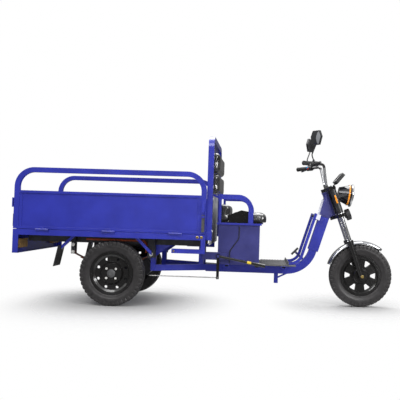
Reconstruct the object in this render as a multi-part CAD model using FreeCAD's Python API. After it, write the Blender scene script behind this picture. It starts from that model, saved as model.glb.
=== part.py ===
import FreeCAD
import Part
import math
import os

# Cargo tricycle. Millimetres, x forward, y to the left, z up.
# While it is built, x = 0 is the rear axle and z = 0 the ground; each solid is then moved so that
# the origin is under the middle of the whole part.

# Clearances shared by all pieces
RUN_FIT = 0.1
FACE_GAP = 0.5
SEAT_GAP = 0.3
LOOSE_GAP = 3.0
OVERRUN = 5.0

# Wheels and stance
CAB_LENGTH = 1278.0
REAR_TRACK = 810.0
REAR_TYRE_OD = 512.0
FRONT_TYRE_OD = 526.0
TYRE_WIDTH = 96.0
TYRE_CROWN = 6.0
TYRE_SHOULDER_WIDTH = 84.0
TYRE_WALL = 12.0
TYRE_TREAD = 18.0
RIM_SEAT_OD = 305.0
RIM_FLANGE_OD = 336.0
RIM_WIDTH = 74.0
RIM_LIP = 6.0
RIM_SHEET = 5.0
RIM_WELL_DEPTH = 16.0
RIM_WELL_WIDTH = 34.0
REAR_DISC_SET = 14.0
REAR_DISC_SHEET = 5.0
REAR_DISC_BULGE = 18.0
REAR_DISC_STEP_RADIUS = 92.0
REAR_DISC_FACE_RADIUS = 78.0
REAR_VENT_RADIUS = 11.0
REAR_VENT_CIRCLE = 116.0
REAR_VENT_COUNT = 8
HUB_CAP_RADIUS = 33.0
HUB_CAP_HEIGHT = 16.0
LUG_CIRCLE = 52.0
LUG_NUT_RADIUS = 10.0
LUG_NUT_HEIGHT = 14.0
LUG_COUNT = 4
DRUM_RADIUS = 92.0
DRUM_WALL = 8.0
DRUM_WIDTH = 48.0
FRONT_HUB_RADIUS = 63.0
FRONT_HUB_WIDTH = 104.0
FRONT_WEB_WIDTH = 30.0
FRONT_WINDOW_COUNT = 6
FRONT_WINDOW_INNER = 84.0
FRONT_WINDOW_OUTER = 134.0
FRONT_WINDOW_TIP = 18.0
FRONT_WINDOW_BASE = 58.0
FRONT_WINDOW_ROUND = 8.0
FRONT_AXLE_RADIUS = 7.0
FRONT_NUT_RADIUS = 13.0
FRONT_NUT_HEIGHT = 12.0

# Rear axle with gearbox and motor
AXLE_TUBE_RADIUS = 36.0
AXLE_STUB_RADIUS = 14.0
AXLE_STUB_PROUD = 6.0
BACKPLATE_SHEET = 5.0
GEARBOX_RADIUS = 100.0
GEARBOX_NOSE_RADIUS = 84.0
GEARBOX_WIDTH = 60.0
MOTOR_AHEAD = 150.0
MOTOR_RISE = 19.0
MOTOR_RADIUS = 78.0
MOTOR_LENGTH = 180.0
MOTOR_FIN_HEIGHT = 5.0
MOTOR_FIN_WIDTH = 6.0
MOTOR_FIN_COUNT = 9
REAR_TRAVEL = 45.0
BRAKE_ARM_LENGTH = 70.0
BRAKE_ARM_WIDTH = 20.0
BRAKE_ARM_SHEET = 6.0

# Leaf springs
SPRING_INSET = 85.0
SPRING_WIDTH = 44.0
SPRING_FRONT = 290.0
SPRING_REAR = 340.0
SPRING_SEAT_RISE = 68.0
SPRING_SAG = 84.0
LEAF_THICKNESS = 7.0
LEAF_SHARES = (1.0, 0.78, 0.56, 0.36)
EYE_RADIUS = 16.0
EYE_PIN_RADIUS = 8.0
SPRING_PAD_LENGTH = 90.0
SPRING_PAD_WIDTH = 44.0
U_BOLT_RADIUS = 6.0
U_BOLT_SPAN = 58.0
HANGER_SHEET = 6.0
HANGER_WIDTH = 56.0
SHACKLE_LENGTH = 58.0
SHACKLE_WIDTH = 30.0

# Chassis
TUBE_WALL = 3.0
RAIL_INSET = 52.0
RAIL_WIDTH = 40.0
RAIL_HEIGHT = 56.0
RAIL_END_GAP = 44.0
MAIN_TUBE_WIDTH = 60.0
MAIN_TUBE_DEPTH = 64.0
MAIN_TUBE_Z = 290.0
MAIN_TUBE_UNDERLAP = 32.0
MAIN_TUBE_CORNER_BACK = 459.0
MAIN_TUBE_LEAN = 17.2
MAIN_TUBE_BEND = 230.0
MAIN_TUBE_RISE = 460.0
SLEEVE_WIDTH = 72.0
SLEEVE_DEPTH = 86.0
SLEEVE_LENGTH = 300.0
GUARD_PIPE_Y = 150.0
GUARD_PIPE_DEPTH = 22.0
GUARD_PIPE_WIDTH = 30.0
GUARD_PIPE_BACK = 54.0
GUARD_PIPE_BEND = 100.0
GUARD_BRIDGE_HEIGHT = 46.0
HOOK_RADIUS = 9.0
HOOK_LENGTH = 26.0
SPREAD_BEAM_WIDTH = 40.0
SPREAD_BEAM_HEIGHT = 50.0
SPREAD_AHEAD = 28.0
SPREAD_POST_WIDTH = 40.0
SPREAD_GUSSET_AHEAD = 120.0
SPREAD_GUSSET_DROP = 90.0
SPREAD_TIP = 80.0
OUTRIGGER_HEIGHT = 20.0
OUTRIGGER_WIDTH = 40.0
OUTRIGGER_SHARES = (0.12, 0.5, 0.84)
TIE_TUBE_SHARES = (0.06, 0.5, 0.985)
STAND_WIDTH = 34.0
STAND_DROP = 82.0
STAND_SHEET = 30.0
STAND_AHEAD = 149.0
STAND_BRACE_RADIUS = 7.0
STAND_BRACE_REACH = 150.0

# Cargo bed
BED_LENGTH = 1500.0
BED_WIDTH = 1000.0
BED_OVERHANG = 768.0
WHEEL_ROOM = 25.0
SILL_HEIGHT = 44.0
SILL_WIDTH = 40.0
FLOOR_SHEET = 3.0
CROSS_WIDTH = 40.0
CROSS_SHARES = (0.13, 0.74, 0.88)
SIDE_LOOP_LENGTH = 258.0
SIDE_LOOP_DROP = 104.0
SIDE_LOOP_BAR = 34.0
SIDE_LOOP_DEPTH = 26.0
TAIL_DROP = 142.0
TAIL_DEPTH = 44.0
TAIL_SHEET = 4.0
LAMP_LENGTH = 150.0
LAMP_HEIGHT = 70.0
LAMP_DEPTH = 34.0
LAMP_PROUD = 3.0
LAMP_Y = 360.0
LAMP_RISE = 70.0
BOLT_RADIUS = 7.0
BOLT_HEAD = 6.0

# Drop sides and tailgate
GATE_DEPTH = 28.0
GATE_GAP = 4.0
GATE_HEIGHT = 302.0
GATE_EDGE = 20.0
GATE_SHEET = 2.5
GATE_SET_BACK = 10.0
GATE_STEP = 24.0
GATE_STEP_DEPTH = 5.0
POST_WIDTH = 40.0
RAIL_RISE = 182.0
RAIL_BEND = 132.0
HINGE_OUT = 10.0
HINGE_RADIUS = 8.0
HINGE_PIN_RADIUS = 4.0
HINGE_LENGTH = 100.0
HINGE_KNUCKLE_SHARE = 0.36
HINGE_LEAF = 5.0
HINGE_LEAF_HEIGHT = 16.0
HINGE_SHARES = (0.135, 0.5, 0.865)

# Corner latches
LATCH_STUD_RADIUS = 5.0
LATCH_HEAD_RADIUS = 10.0
LATCH_WIDTH = 22.0
LATCH_THICKNESS = 8.0
LATCH_HANDLE = 118.0
LATCH_TOE = 16.0
LATCH_GRIP_THICKNESS = 22.0
LATCH_GRIP_LENGTH = 96.0
LATCH_PIVOT_RISE = 134.0
LATCH_INSET = 24.0
KEEPER_HEIGHT = 74.0
KEEPER_WIDTH = 22.0
KEEPER_OUT = 34.0
KEEPER_BAR = 9.0
KEEPER_LIFT = 16.0

# Headboard behind the driver
HEAD_POST = 45.0
HEAD_POST_Y = 440.0
HEADBOARD_RISE = 773.0
HEAD_BEND = 70.0
BACK_BAR_THICKNESS = 18.0
BACK_BAR_HEIGHT = 40.0
UPPER_PAD_RISE = 576.0
LOWER_PAD_RISE = 406.0
BACK_PAD_WIDTH = 640.0
BACK_PAD_HEIGHT = 164.0
BACK_PAD_THICKNESS = 62.0
BACK_PAD_ROUND = 34.0
PANEL_SHEET = 3.0
TOP_PANEL_HEIGHT = 70.0
FRONT_WALL_HEIGHT = 312.0
FRONT_WALL_SKIRT = 84.0

# Seat box, seat and armrests
SEAT_BOX_GAP = 85.0
SEAT_BOX_LENGTH = 334.0
SEAT_BOX_WIDTH = 570.0
SEAT_BOX_HEIGHT = 320.0
SEAT_BOX_SHEET = 3.0
SEAT_LIP = 14.0
SEAT_LIP_HEIGHT = 16.0
BATTERY_ROWS = 3
BATTERY_COLUMNS = 2
BATTERY_COUNT = 5
BATTERY_HEIGHT = 176.0
BATTERY_GAP = 6.0
TERMINAL_RADIUS = 6.0
TERMINAL_HEIGHT = 10.0
CONTROLLER_HEIGHT = 70.0
CONTROLLER_FIN = 5.0
CONTROLLER_FIN_COUNT = 8
SEAT_PAN_SHEET = 8.0
SEAT_SIDE_GAP = 50.0
SEAT_CUSHION_LENGTH = 298.0
SEAT_CUSHION_HEIGHT = 78.0
SEAT_CUSHION_ROUND = 46.0
SEAT_NOSE = 40.0
LOW_BACK_THICKNESS = 84.0
LOW_BACK_HEIGHT = 138.0
LOW_BACK_ROUND = 26.0
CHEEK_SHEET = 6.0
CHEEK_LENGTH = 190.0
CHEEK_HEIGHT = 104.0
CHEEK_BEHIND = 78.0
CHEEK_SHARES = ((0, 0), (0, 0.6), (0.53, 1), (0.86, 0.9), (1, 0.6), (1, 0))
SEAT_HINGE_RADIUS = 6.0
SEAT_PIN_RADIUS = 3.0
SEAT_HINGE_LENGTH = 60.0
SEAT_HINGE_Y = 140.0
ARM_DEPTH = 40.0
ARM_WIDTH = 22.0
ARM_RISE = 228.0
ARM_BEND = 105.0
ARM_FRONT_INSET = 76.0
ARM_REAR_POST = 20.0

# Footboard and pedal
FOOTBOARD_LENGTH = 300.0
FOOTBOARD_SIDE_GAP = 5.0
FOOTBOARD_SHEET = 4.0
MAT_SHEET = 5.0
MAT_BORDER = 14.0
MAT_RIB_COUNT = 9
MAT_RIB_WIDTH = 10.0
MAT_RIB_HEIGHT = 2.0
MAT_LIP_HEIGHT = 30.0
MAT_LIP_LEAN = 8.0
PEDAL_Y = 96.0
PEDAL_PIVOT_AHEAD = 54.0
PEDAL_PIVOT_RISE = 58.0
PEDAL_ARM = 74.0
PEDAL_ARM_DEPTH = 18.0
PEDAL_ARM_WIDTH = 12.0
PEDAL_LEAN = 46.0
PEDAL_PAD_LENGTH = 76.0
PEDAL_PAD_WIDTH = 66.0
PEDAL_PAD_THICKNESS = 12.0
PEDAL_HUB_RADIUS = 14.0
PEDAL_PIN_RADIUS = 6.0

# Parking brake
PARK_OUT = 29.0
PARK_PIVOT_AHEAD = 6.0
PARK_PIVOT_Z = 409.0
PARK_ROD_DROP = 36.0
PARK_ARM_DEPTH = 22.0
PARK_ARM_WIDTH = 8.0
PARK_TUBE_RADIUS = 10.0
PARK_REACH = 372.0
PARK_FALL = 66.0
PARK_GRIP_LENGTH = 96.0
PARK_GRIP_RADIUS = 14.0
PARK_HUB_RADIUS = 18.0
PARK_PIN_RADIUS = 6.0
PARK_ROD_RADIUS = 4.0
PARK_ROD_GAP = 16.0
PARK_EYE_RADIUS = 10.0
PARK_EYE_PIN_RADIUS = 5.0
QUADRANT_SHEET = 5.0
QUADRANT_LENGTH = 86.0
QUADRANT_BEHIND = 128.0
QUADRANT_HEIGHT = 62.0

# Fork, in its own raked axes: u ahead of the fork legs, w up along them from the front axle
RAKE = 20.0
FORK_OFFSET = 58.0
LEG_Y = 88.0
STANCHION_RADIUS = 16.5
STANCHION_FOOT = 150.0
SLIDER_RADIUS = 24.0
SLIDER_TOP = 312.0
SLIDER_COLLAR = 28.0
SLIDER_COLLAR_RADIUS = 28.0
SLIDER_BORE_FOOT = 76.0
SLIDER_LUG = 30.0
SLIDER_LUG_DEPTH = 46.0
SLIDER_LUG_WIDTH = 30.0
LOWER_CROWN_W = 520.0
UPPER_CROWN_W = 762.0
CROWN_THICKNESS = 28.0
CROWN_DEPTH = 54.0
CROWN_MARGIN = 12.0
STEM_RADIUS = 15.0
BEARING_HEIGHT = 12.0
BEARING_RADIUS = 29.0
HEAD_TUBE_RADIUS = 26.0
HEAD_TUBE_BORE = 19.0
NECK_WIDTH = 84.0
NECK_SHEET = 6.0
NECK_STAY_WIDTH = 26.0
NECK_STAY_DEPTH = 14.0
NECK_STAY_SHARE = 0.72
FORK_COVER_RADIUS = 27.0
FORK_COVER_GAP = 8.0
FENDER_GAP = 26.0
FENDER_WIDTH = 118.0
FENDER_SHEET = 2.5
FENDER_DROP = 20.0
FENDER_FRONT_ANGLE = 52.0
FENDER_REAR_ANGLE = 162.0
FENDER_BRACE_DEPTH = 24.0
FENDER_BRACE_SHEET = 5.0

# Handlebar and what is on it, in the fork's axes
BAR_RADIUS = 11.0
BAR_CLAMP_RISE = 24.0
BAR_CLAMP_BACK = 34.0
BAR_CLAMP_HALF = 52.0
BAR_RISE = 168.0
BAR_RISE_Y = 128.0
BAR_RISE_BACK = 8.0
BAR_END_Y = 332.0
BAR_END_BACK = 184.0
BAR_END_RISE = 222.0
BAR_BEND = 42.0
BAR_MOUNT_RADIUS = 17.0
BAR_MOUNT_WIDTH = 18.0
GRIP_LENGTH = 122.0
GRIP_RADIUS = 17.0
POD_LENGTH = 52.0
POD_RADIUS = 23.0
POD_GAP = 1.0
BUTTON_RADIUS = 6.0
BUTTON_PROUD = 6.0
BUTTON_TRAVEL = 3.0
BUTTON_FLOOR = 3.0
LEVER_PIVOT_OUT = 40.0
LEVER_PIN_RADIUS = 4.0
LEVER_HUB_RADIUS = 10.0
LEVER_THICKNESS = 10.0
LEVER_LENGTH = 150.0
LEVER_DEPTH = 13.0
MIRROR_STEM_RADIUS = 5.0
MIRROR_STEM_RISE = 130.0
MIRROR_STEM_OUT = 44.0
MIRROR_STEM_FORWARD = 72.0
MIRROR_STEM_BEND = 36.0
MIRROR_WIDTH = 116.0
MIRROR_HEIGHT = 116.0
MIRROR_THICKNESS = 26.0
MIRROR_TURN = 42.0
MIRROR_SOCKET_DEPTH = 12.0
MIRROR_SOCKET_WALL = 4.0
MIRROR_NARROW_SHARE = 0.62
MIRROR_WAIST_SHARE = 0.15
DISPLAY_LENGTH = 104.0
DISPLAY_WIDTH = 150.0
DISPLAY_DEPTH = 30.0
DISPLAY_AHEAD = 48.0
DISPLAY_RISE = 16.0
DISPLAY_TILT = 51.0
DISPLAY_STAND_WIDTH = 40.0
DISPLAY_STAND_DEPTH = 14.0
LAMP_RING_RADIUS = 94.0
LAMP_BUCKET_LENGTH = 118.0
LAMP_BACK_RADIUS = 56.0
LAMP_AHEAD = 46.0
LAMP_DROP = 46.0
LAMP_SHEET = 4.0
LAMP_LENS_CROWN = 16.0
LAMP_TILT = 8.0
LAMP_ARM_WIDTH = 26.0
LAMP_ARM_SHEET = 8.0
LAMP_ARM_REACH = 100.0
LAMP_PIVOT_SHARE = 0.44
LAMP_PIVOT_RADIUS = 9.0
LAMP_WAIST_SHARE = 0.7
LAMP_WAIST_RADIUS = 84.0
LAMP_RIM_DEPTH = 14.0
HORN_RADIUS = 48.0
HORN_THICKNESS = 44.0
HORN_AHEAD = 40.0
HORN_RISE = 1.0
HORN_EAR_WIDTH = 24.0
REFLECTOR_WIDTH = 12.0
REFLECTOR_LENGTH = 70.0
REFLECTOR_SHEET = 4.0
REFLECTOR_DROP = 85.0

# Conduit and cable held along the frame
CONDUIT_RADIUS = 8.0
CONDUIT_BEND = 40.0
CONDUIT_REAR = -250.0
CONDUIT_FRONT = 240.0
CONDUIT_DROP = 96.0
CABLE_RADIUS = 4.0
CABLE_BEND = 50.0
CABLE_TOP_AHEAD = 168.0
CABLE_LOW_AHEAD = 96.0
CABLE_MARGIN = 12.0

# Mudflaps behind the rear wheels
FLAP_WIDTH = 150.0
FLAP_HEIGHT = 165.0
FLAP_SHEET = 5.0
FLAP_LEAN = 12.0
FLAP_TOP_X = -411.0
FLAP_TOP_DROP = 77.0
FLAP_ARM_WIDTH = 26.0
FLAP_ARM_DEPTH = 30.0
FLAP_ARM_REACH = 110.0
WHEEL_STAY_X = 170.0
WHEEL_STAY_REACH = 133.0
WHEEL_STAY_DROP = 131.0

# Places worked out from the sizes above
REAR_AXLE_Z = REAR_TYRE_OD / 2
SPRING_Y = REAR_TRACK / 2 - SPRING_INSET
RAIL_Y = SPRING_Y - RAIL_INSET
FRONT_AXLE_Z = FRONT_TYRE_OD / 2
BED_REAR = -BED_OVERHANG
BED_FRONT = BED_LENGTH - BED_OVERHANG
WHEELBASE = BED_FRONT + CAB_LENGTH
BED_HALF = BED_WIDTH / 2
SILL_TOP_Z = REAR_TYRE_OD + REAR_TRAVEL + WHEEL_ROOM
SILL_BOTTOM_Z = SILL_TOP_Z - SILL_HEIGHT
GATE_BOTTOM_Z = SILL_TOP_Z + GATE_GAP
GATE_TOP_Z = SILL_TOP_Z + GATE_HEIGHT
GATE_INNER = BED_HALF - GATE_DEPTH
HINGE_Z = SILL_TOP_Z + GATE_GAP / 2
RAIL_TOP_Z = SILL_BOTTOM_Z
RAIL_BOTTOM_Z = RAIL_TOP_Z - RAIL_HEIGHT
FLOOR_LINE_Z = MAIN_TUBE_Z + MAIN_TUBE_DEPTH / 2 + OUTRIGGER_HEIGHT
MAIN_TUBE_REAR = BED_FRONT - MAIN_TUBE_UNDERLAP
MAIN_TUBE_CORNER = WHEELBASE - MAIN_TUBE_CORNER_BACK
SPREAD_REAR = SPRING_FRONT + HANGER_WIDTH / 2
SPREAD_FRONT = BED_FRONT + SPREAD_AHEAD
SEAT_BOX_REAR = BED_FRONT + SEAT_BOX_GAP
SEAT_BOX_FRONT = SEAT_BOX_REAR + SEAT_BOX_LENGTH
STAND_AT = SEAT_BOX_FRONT + STAND_AHEAD
SEAT_BOX_TOP_Z = FLOOR_LINE_Z + SEAT_BOX_HEIGHT
SEAT_TOP_Z = SEAT_BOX_TOP_Z + SEAT_LIP_HEIGHT
SEAT_HINGE_X = SEAT_BOX_FRONT + SEAT_LIP + SEAT_HINGE_RADIUS + FACE_GAP
SEAT_HINGE_Z = SEAT_TOP_Z
HEADBOARD_TOP_Z = SILL_TOP_Z + HEADBOARD_RISE
UPPER_PAD_Z = SILL_TOP_Z + UPPER_PAD_RISE
LOWER_PAD_Z = SILL_TOP_Z + LOWER_PAD_RISE
PAD_BACK_X = BED_FRONT + BACK_BAR_THICKNESS + SEAT_GAP
SEAT_WIDTH = SEAT_BOX_WIDTH - SEAT_SIDE_GAP * 2
BATTERY_ROOM = SEAT_BOX_WIDTH - SEAT_BOX_SHEET * 2 - BATTERY_GAP * (BATTERY_ROWS + 1)
BATTERY_LENGTH = BATTERY_ROOM / BATTERY_ROWS
BATTERY_BAY = SEAT_BOX_LENGTH - SEAT_BOX_SHEET * 2 - BATTERY_GAP * (BATTERY_COLUMNS + 1)
BATTERY_WIDTH = BATTERY_BAY / BATTERY_COLUMNS
PARK_Y = SEAT_BOX_WIDTH / 2 + PARK_OUT
PARK_ROD_REAR = REAR_TYRE_OD / 2 + PARK_ROD_GAP
PARK_PIVOT_X = SEAT_BOX_REAR + PARK_PIVOT_AHEAD
PARK_EYE_Z = MAIN_TUBE_Z + MAIN_TUBE_DEPTH / 2 - SPREAD_BEAM_HEIGHT - PARK_ROD_DROP
FOOTBOARD_WIDTH = SEAT_BOX_WIDTH - FOOTBOARD_SIDE_GAP * 2
FOOTBOARD_FRONT = SEAT_BOX_FRONT + FOOTBOARD_LENGTH
PEDAL_PIVOT_X = FOOTBOARD_FRONT + PEDAL_PIVOT_AHEAD
PEDAL_PIVOT_Z = FLOOR_LINE_Z + PEDAL_PIVOT_RISE
SPRING_MID_Z = REAR_AXLE_Z + SPRING_SEAT_RISE
SPRING_EYE_Z = SPRING_MID_Z + SPRING_SAG
FLAP_TOP_Z = SILL_BOTTOM_Z - FLAP_TOP_DROP
FLAP_ARM_TOP_X = FLAP_TOP_X + FLAP_ARM_REACH
FORK_COVER_LOW = LOWER_CROWN_W + CROWN_THICKNESS + FORK_COVER_GAP
LAMP_UP = UPPER_CROWN_W - LAMP_DROP
HORN_UP = LOWER_CROWN_W + HORN_RISE
LATCH_PIVOT_Z = GATE_BOTTOM_Z + LATCH_PIVOT_RISE
LATCH_OUT = SEAT_GAP + LATCH_THICKNESS
LATCH_REACH = LATCH_OUT + LATCH_GRIP_THICKNESS
REAR_EXTENT = BED_REAR - KEEPER_OUT
FRONT_EXTENT = WHEELBASE + FRONT_TYRE_OD / 2
MIDDLE_X = (REAR_EXTENT + FRONT_EXTENT) / 2


# Shapes used by several pieces


def point(x, y, z):
    return FreeCAD.Vector(x, y, z)


def block(x_span, y_span, z_span):
    """Box that fills three spans."""
    size = [high - low for low, high in (x_span, y_span, z_span)]
    return Part.makeBox(size[0], size[1], size[2], point(x_span[0], y_span[0], z_span[0]))


def box_tube(x_span, y_span, z_span, wall, run):
    """Rectangular tube that fills three spans and is open along its run (0, 1 or 2 for x, y or z)."""
    spans = (x_span, y_span, z_span)
    bore = [span if axis == run else (span[0] + wall, span[1] - wall) for axis, span in enumerate(spans)]
    return block(*spans).cut(block(*bore))


def rod(start, end, radius):
    line = end.sub(start)
    return Part.makeCylinder(radius, line.Length, start, line)


def ring(start, end, radius, bore):
    return rod(start, end, radius).cut(rod(start, end, bore))


def plate(outline, y_span):
    """Flat plate with an outline in x and z, as thick as its span in y."""
    corners = [point(x, y_span[0], z) for x, z in outline]
    face = Part.Face(Part.makePolygon(corners + corners[:1]))
    return face.extrude(point(0, y_span[1] - y_span[0], 0))


def lathe(outline, x, z):
    """Ring turned about the line through x and z along y, from an outline of (radius, y)."""
    corners = [point(x + radius, y, z) for radius, y in outline]
    face = Part.Face(Part.makePolygon(corners + corners[:1]))
    return face.revolve(point(x, 0, z), point(0, 1, 0), 360)


def rounded(corners, radii):
    """Edges through corner points, with an arc at each inner corner."""
    edges = []
    start = corners[0]
    for before, corner, after, radius in zip(corners, corners[1:], corners[2:], radii):
        back = before.sub(corner).normalize()
        ahead = after.sub(corner).normalize()
        half_turn = back.getAngle(ahead) / 2
        reach = radius / math.tan(half_turn)
        inward = back.add(ahead).normalize()
        first = corner.add(back * reach)
        last = corner.add(ahead * reach)
        middle = corner.add(inward * (radius / math.sin(half_turn) - radius))
        edges.append(Part.LineSegment(start, first).toShape())
        edges.append(Part.Arc(first, middle, last).toShape())
        start = last
    edges.append(Part.LineSegment(start, corners[-1]).toShape())
    return edges


def side_route(route, offset):
    """A route in x and z moved to its left by an offset, corner by corner."""
    lines = []
    for (x0, z0), (x1, z1) in zip(route, route[1:]):
        length = math.hypot(x1 - x0, z1 - z0)
        shift = (-(z1 - z0) / length * offset, (x1 - x0) / length * offset)
        lines.append(((x0 + shift[0], z0 + shift[1]), (x1 - x0, z1 - z0), (x1 + shift[0], z1 + shift[1])))
    moved = [lines[0][0]]
    for (start, along, _), (next_start, next_along, _) in zip(lines, lines[1:]):
        cross = along[0] * next_along[1] - along[1] * next_along[0]
        gap = (next_start[0] - start[0], next_start[1] - start[1])
        share = (gap[0] * next_along[1] - gap[1] * next_along[0]) / cross
        moved.append((start[0] + along[0] * share, start[1] + along[1] * share))
    moved.append(lines[-1][2])
    return moved


def bent_bar(route, radius, depth, y_span):
    """Bar of rectangular section along a route in x and z, with bends of one mid-depth radius."""
    turns = []
    for (x0, z0), (x1, z1), (x2, z2) in zip(route, route[1:], route[2:]):
        cross = (x1 - x0) * (z2 - z1) - (z1 - z0) * (x2 - x1)
        turns.append(math.copysign(1, cross))
    edges = []
    ends = []
    for offset in (depth / 2, -depth / 2):
        corners = [point(x, y_span[0], z) for x, z in side_route(route, offset)]
        edges += rounded(corners, [radius - offset * turn for turn in turns])
        ends.append((corners[0], corners[-1]))
    for left, right in zip(*ends):
        edges.append(Part.LineSegment(left, right).toShape())
    face = Part.Face(Part.Wire(Part.__sortEdges__(edges)))
    return face.extrude(point(0, y_span[1] - y_span[0], 0))


def round_pipe(corners, radii, radius):
    """Round bar along straight runs and arcs."""
    path = Part.Wire(rounded(corners, radii))
    circle = Part.Wire(Part.makeCircle(radius, corners[0], corners[1].sub(corners[0])))
    return path.makePipeShell([circle], True, False)


def arc_strip(centre, radius, thickness, angles, y_span):
    """Curved strip about a centre in x and z, between two angles from +x towards +z."""
    first, last = (math.radians(angle) for angle in angles)

    def at(reach, angle):
        return point(centre[0] + reach * math.cos(angle), y_span[0], centre[1] + reach * math.sin(angle))

    middle = (first + last) / 2
    outer = radius + thickness
    edges = [
        Part.Arc(at(radius, first), at(radius, middle), at(radius, last)).toShape(),
        Part.LineSegment(at(radius, last), at(outer, last)).toShape(),
        Part.Arc(at(outer, last), at(outer, middle), at(outer, first)).toShape(),
        Part.LineSegment(at(outer, first), at(radius, first)).toShape(),
    ]
    return Part.Face(Part.Wire(edges)).extrude(point(0, y_span[1] - y_span[0], 0))


def pad_outline(half_long, half_wide, corner_radius, draw, level):
    """Closed outline of a cushion at one level: round corners, with sides drawn in between them."""
    quarter = math.sqrt(0.5)
    edges = []
    corners = []
    for sign_long, sign_wide in ((1, 1), (-1, 1), (-1, -1), (1, -1)):
        centre = (sign_long * (half_long - corner_radius), sign_wide * (half_wide - corner_radius))
        on_long = point(centre[0] + sign_long * corner_radius, centre[1], level)
        on_wide = point(centre[0], centre[1] + sign_wide * corner_radius, level)
        bulge = point(centre[0] + sign_long * corner_radius * quarter,
                      centre[1] + sign_wide * corner_radius * quarter, level)
        order = (on_long, bulge, on_wide) if sign_long * sign_wide > 0 else (on_wide, bulge, on_long)
        corners.append(order)
    for corner, following in zip(corners, corners[1:] + corners[:1]):
        edges.append(Part.Arc(*corner).toShape())
        middle = corner[2].add(following[0]) * 0.5
        inward = point(-middle.x, -middle.y, 0).normalize() * draw
        edges.append(Part.Arc(corner[2], middle.add(inward), following[0]).toShape())
    return Part.Wire(edges)


PAD_LEVEL_SHARES = (0.0, 0.16, 0.46, 0.74, 0.92, 1.0)
PAD_SIZE_SHARES = (0.955, 0.992, 1.0, 0.965, 0.87, 0.70)
PAD_DRAW_SHARE = 0.012


def crowned_pad(length, width, height, corner_radius):
    """Cushion lying flat on z = 0: drawn-in sides, full at mid-height and crowned on top."""
    outlines = []
    for level, size in zip(PAD_LEVEL_SHARES, PAD_SIZE_SHARES):
        inset = (1 - size) * min(length, width) / 2
        draw = PAD_DRAW_SHARE * min(length, width)
        outlines.append(pad_outline(length / 2 - inset, width / 2 - inset, corner_radius, draw,
                                    level * height))
    return Part.makeLoft(outlines, True, False)


def mirrored(solids):
    """The right-hand copies of solids made on the left."""
    return [solid.mirror(point(0, 0, 0), point(0, 1, 0)) for solid in solids]


def both_sides(solids):
    return solids + mirrored(solids)


def on_side(solids, side):
    return solids if side > 0 else mirrored(solids)


def turned(solid, centre, axis, angle):
    copy = solid.copy()
    copy.rotate(centre, axis, angle)
    return copy


def raked(solid):
    """Moves a solid from the fork's axes to the tricycle."""
    copy = solid.copy()
    copy.rotate(point(0, 0, 0), point(0, 1, 0), -RAKE)
    copy.translate(point(WHEELBASE, 0, FRONT_AXLE_Z))
    return copy


def fork_place(u, y, w):
    """Place on the tricycle of a point in the fork's axes."""
    lean = math.radians(RAKE)
    x = WHEELBASE + u * math.cos(lean) - w * math.sin(lean)
    z = FRONT_AXLE_Z + u * math.sin(lean) + w * math.cos(lean)
    return point(x, y, z)


# Chassis


def main_route():
    lean = math.radians(MAIN_TUBE_LEAN)
    top = (MAIN_TUBE_CORNER + MAIN_TUBE_RISE * math.tan(lean), MAIN_TUBE_Z + MAIN_TUBE_RISE)
    return [(MAIN_TUBE_REAR, MAIN_TUBE_Z), (MAIN_TUBE_CORNER, MAIN_TUBE_Z), top]


def make_main_tube():
    half = MAIN_TUBE_WIDTH / 2
    return [bent_bar(main_route(), MAIN_TUBE_BEND, MAIN_TUBE_DEPTH, (-half, half))]


def sleeve_route():
    (x0, z0), (x1, z1) = main_route()[1:]
    length = math.hypot(x1 - x0, z1 - z0)
    share = (length - SLEEVE_LENGTH) / length
    return [(x0 + (x1 - x0) * share, z0 + (z1 - z0) * share), (x1, z1)]


def make_neck_sleeve():
    """Box sleeve round the upper part of the main tube."""
    outer = SLEEVE_WIDTH / 2
    inner = MAIN_TUBE_WIDTH / 2
    sleeve = bent_bar(sleeve_route(), 0, SLEEVE_DEPTH, (-outer, outer))
    return [sleeve.cut(bent_bar(sleeve_route(), 0, MAIN_TUBE_DEPTH, (-inner, inner)))]


def guard_route():
    """Route of a leg guard pipe: behind the main tube, then forward along the floor line to the rear."""
    low_z = FLOOR_LINE_Z + FOOTBOARD_SHEET + GUARD_PIPE_DEPTH / 2
    (x0, z0), (x1, z1) = [side_route(main_route(), GUARD_PIPE_BACK + MAIN_TUBE_DEPTH / 2)[i] for i in (1,
                                                                                                       2)]
    share = (low_z - z0) / (z1 - z0)
    corner = (x0 + (x1 - x0) * share, low_z)
    return [(FOOTBOARD_FRONT - GUARD_PIPE_BACK, low_z), corner, (x1, z1)]


def make_leg_guard():
    """Two bent pipes in front of the legs, bridged to the sleeve near the top."""
    half = GUARD_PIPE_WIDTH / 2
    pipes = []
    for y in (-GUARD_PIPE_Y, GUARD_PIPE_Y):
        pipes.append(bent_bar(guard_route(), GUARD_PIPE_BEND, GUARD_PIPE_DEPTH, (y - half, y + half)))
    return pipes


def make_guard_bridge():
    """Cross plate from the guard pipes to the sleeve, with a bag hook."""
    front = side_route(main_route(), SLEEVE_DEPTH / 2)[1:]
    back = side_route(main_route(), GUARD_PIPE_BACK + MAIN_TUBE_DEPTH / 2 - GUARD_PIPE_DEPTH / 2)[1:]
    outline = []
    for (x0, z0), (x1, z1) in (front, back):
        length = math.hypot(x1 - x0, z1 - z0)
        share = (length - GUARD_BRIDGE_HEIGHT) / length
        ends = [(x0 + (x1 - x0) * share, z0 + (z1 - z0) * share), (x1, z1)]
        outline += ends if not outline else ends[::-1]
    reach = GUARD_PIPE_Y + GUARD_PIPE_WIDTH / 2
    bridge = plate(outline, (-reach, reach))
    (x0, z0), (x1, z1) = outline[2:]
    hook_start = point((x0 + x1) / 2, 0, (z0 + z1) / 2)
    lean = math.radians(MAIN_TUBE_LEAN)
    hook_end = hook_start.add(point(-math.cos(lean), 0, math.sin(lean)) * HOOK_LENGTH)
    return [bridge, rod(hook_start, hook_end, HOOK_RADIUS)]


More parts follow.
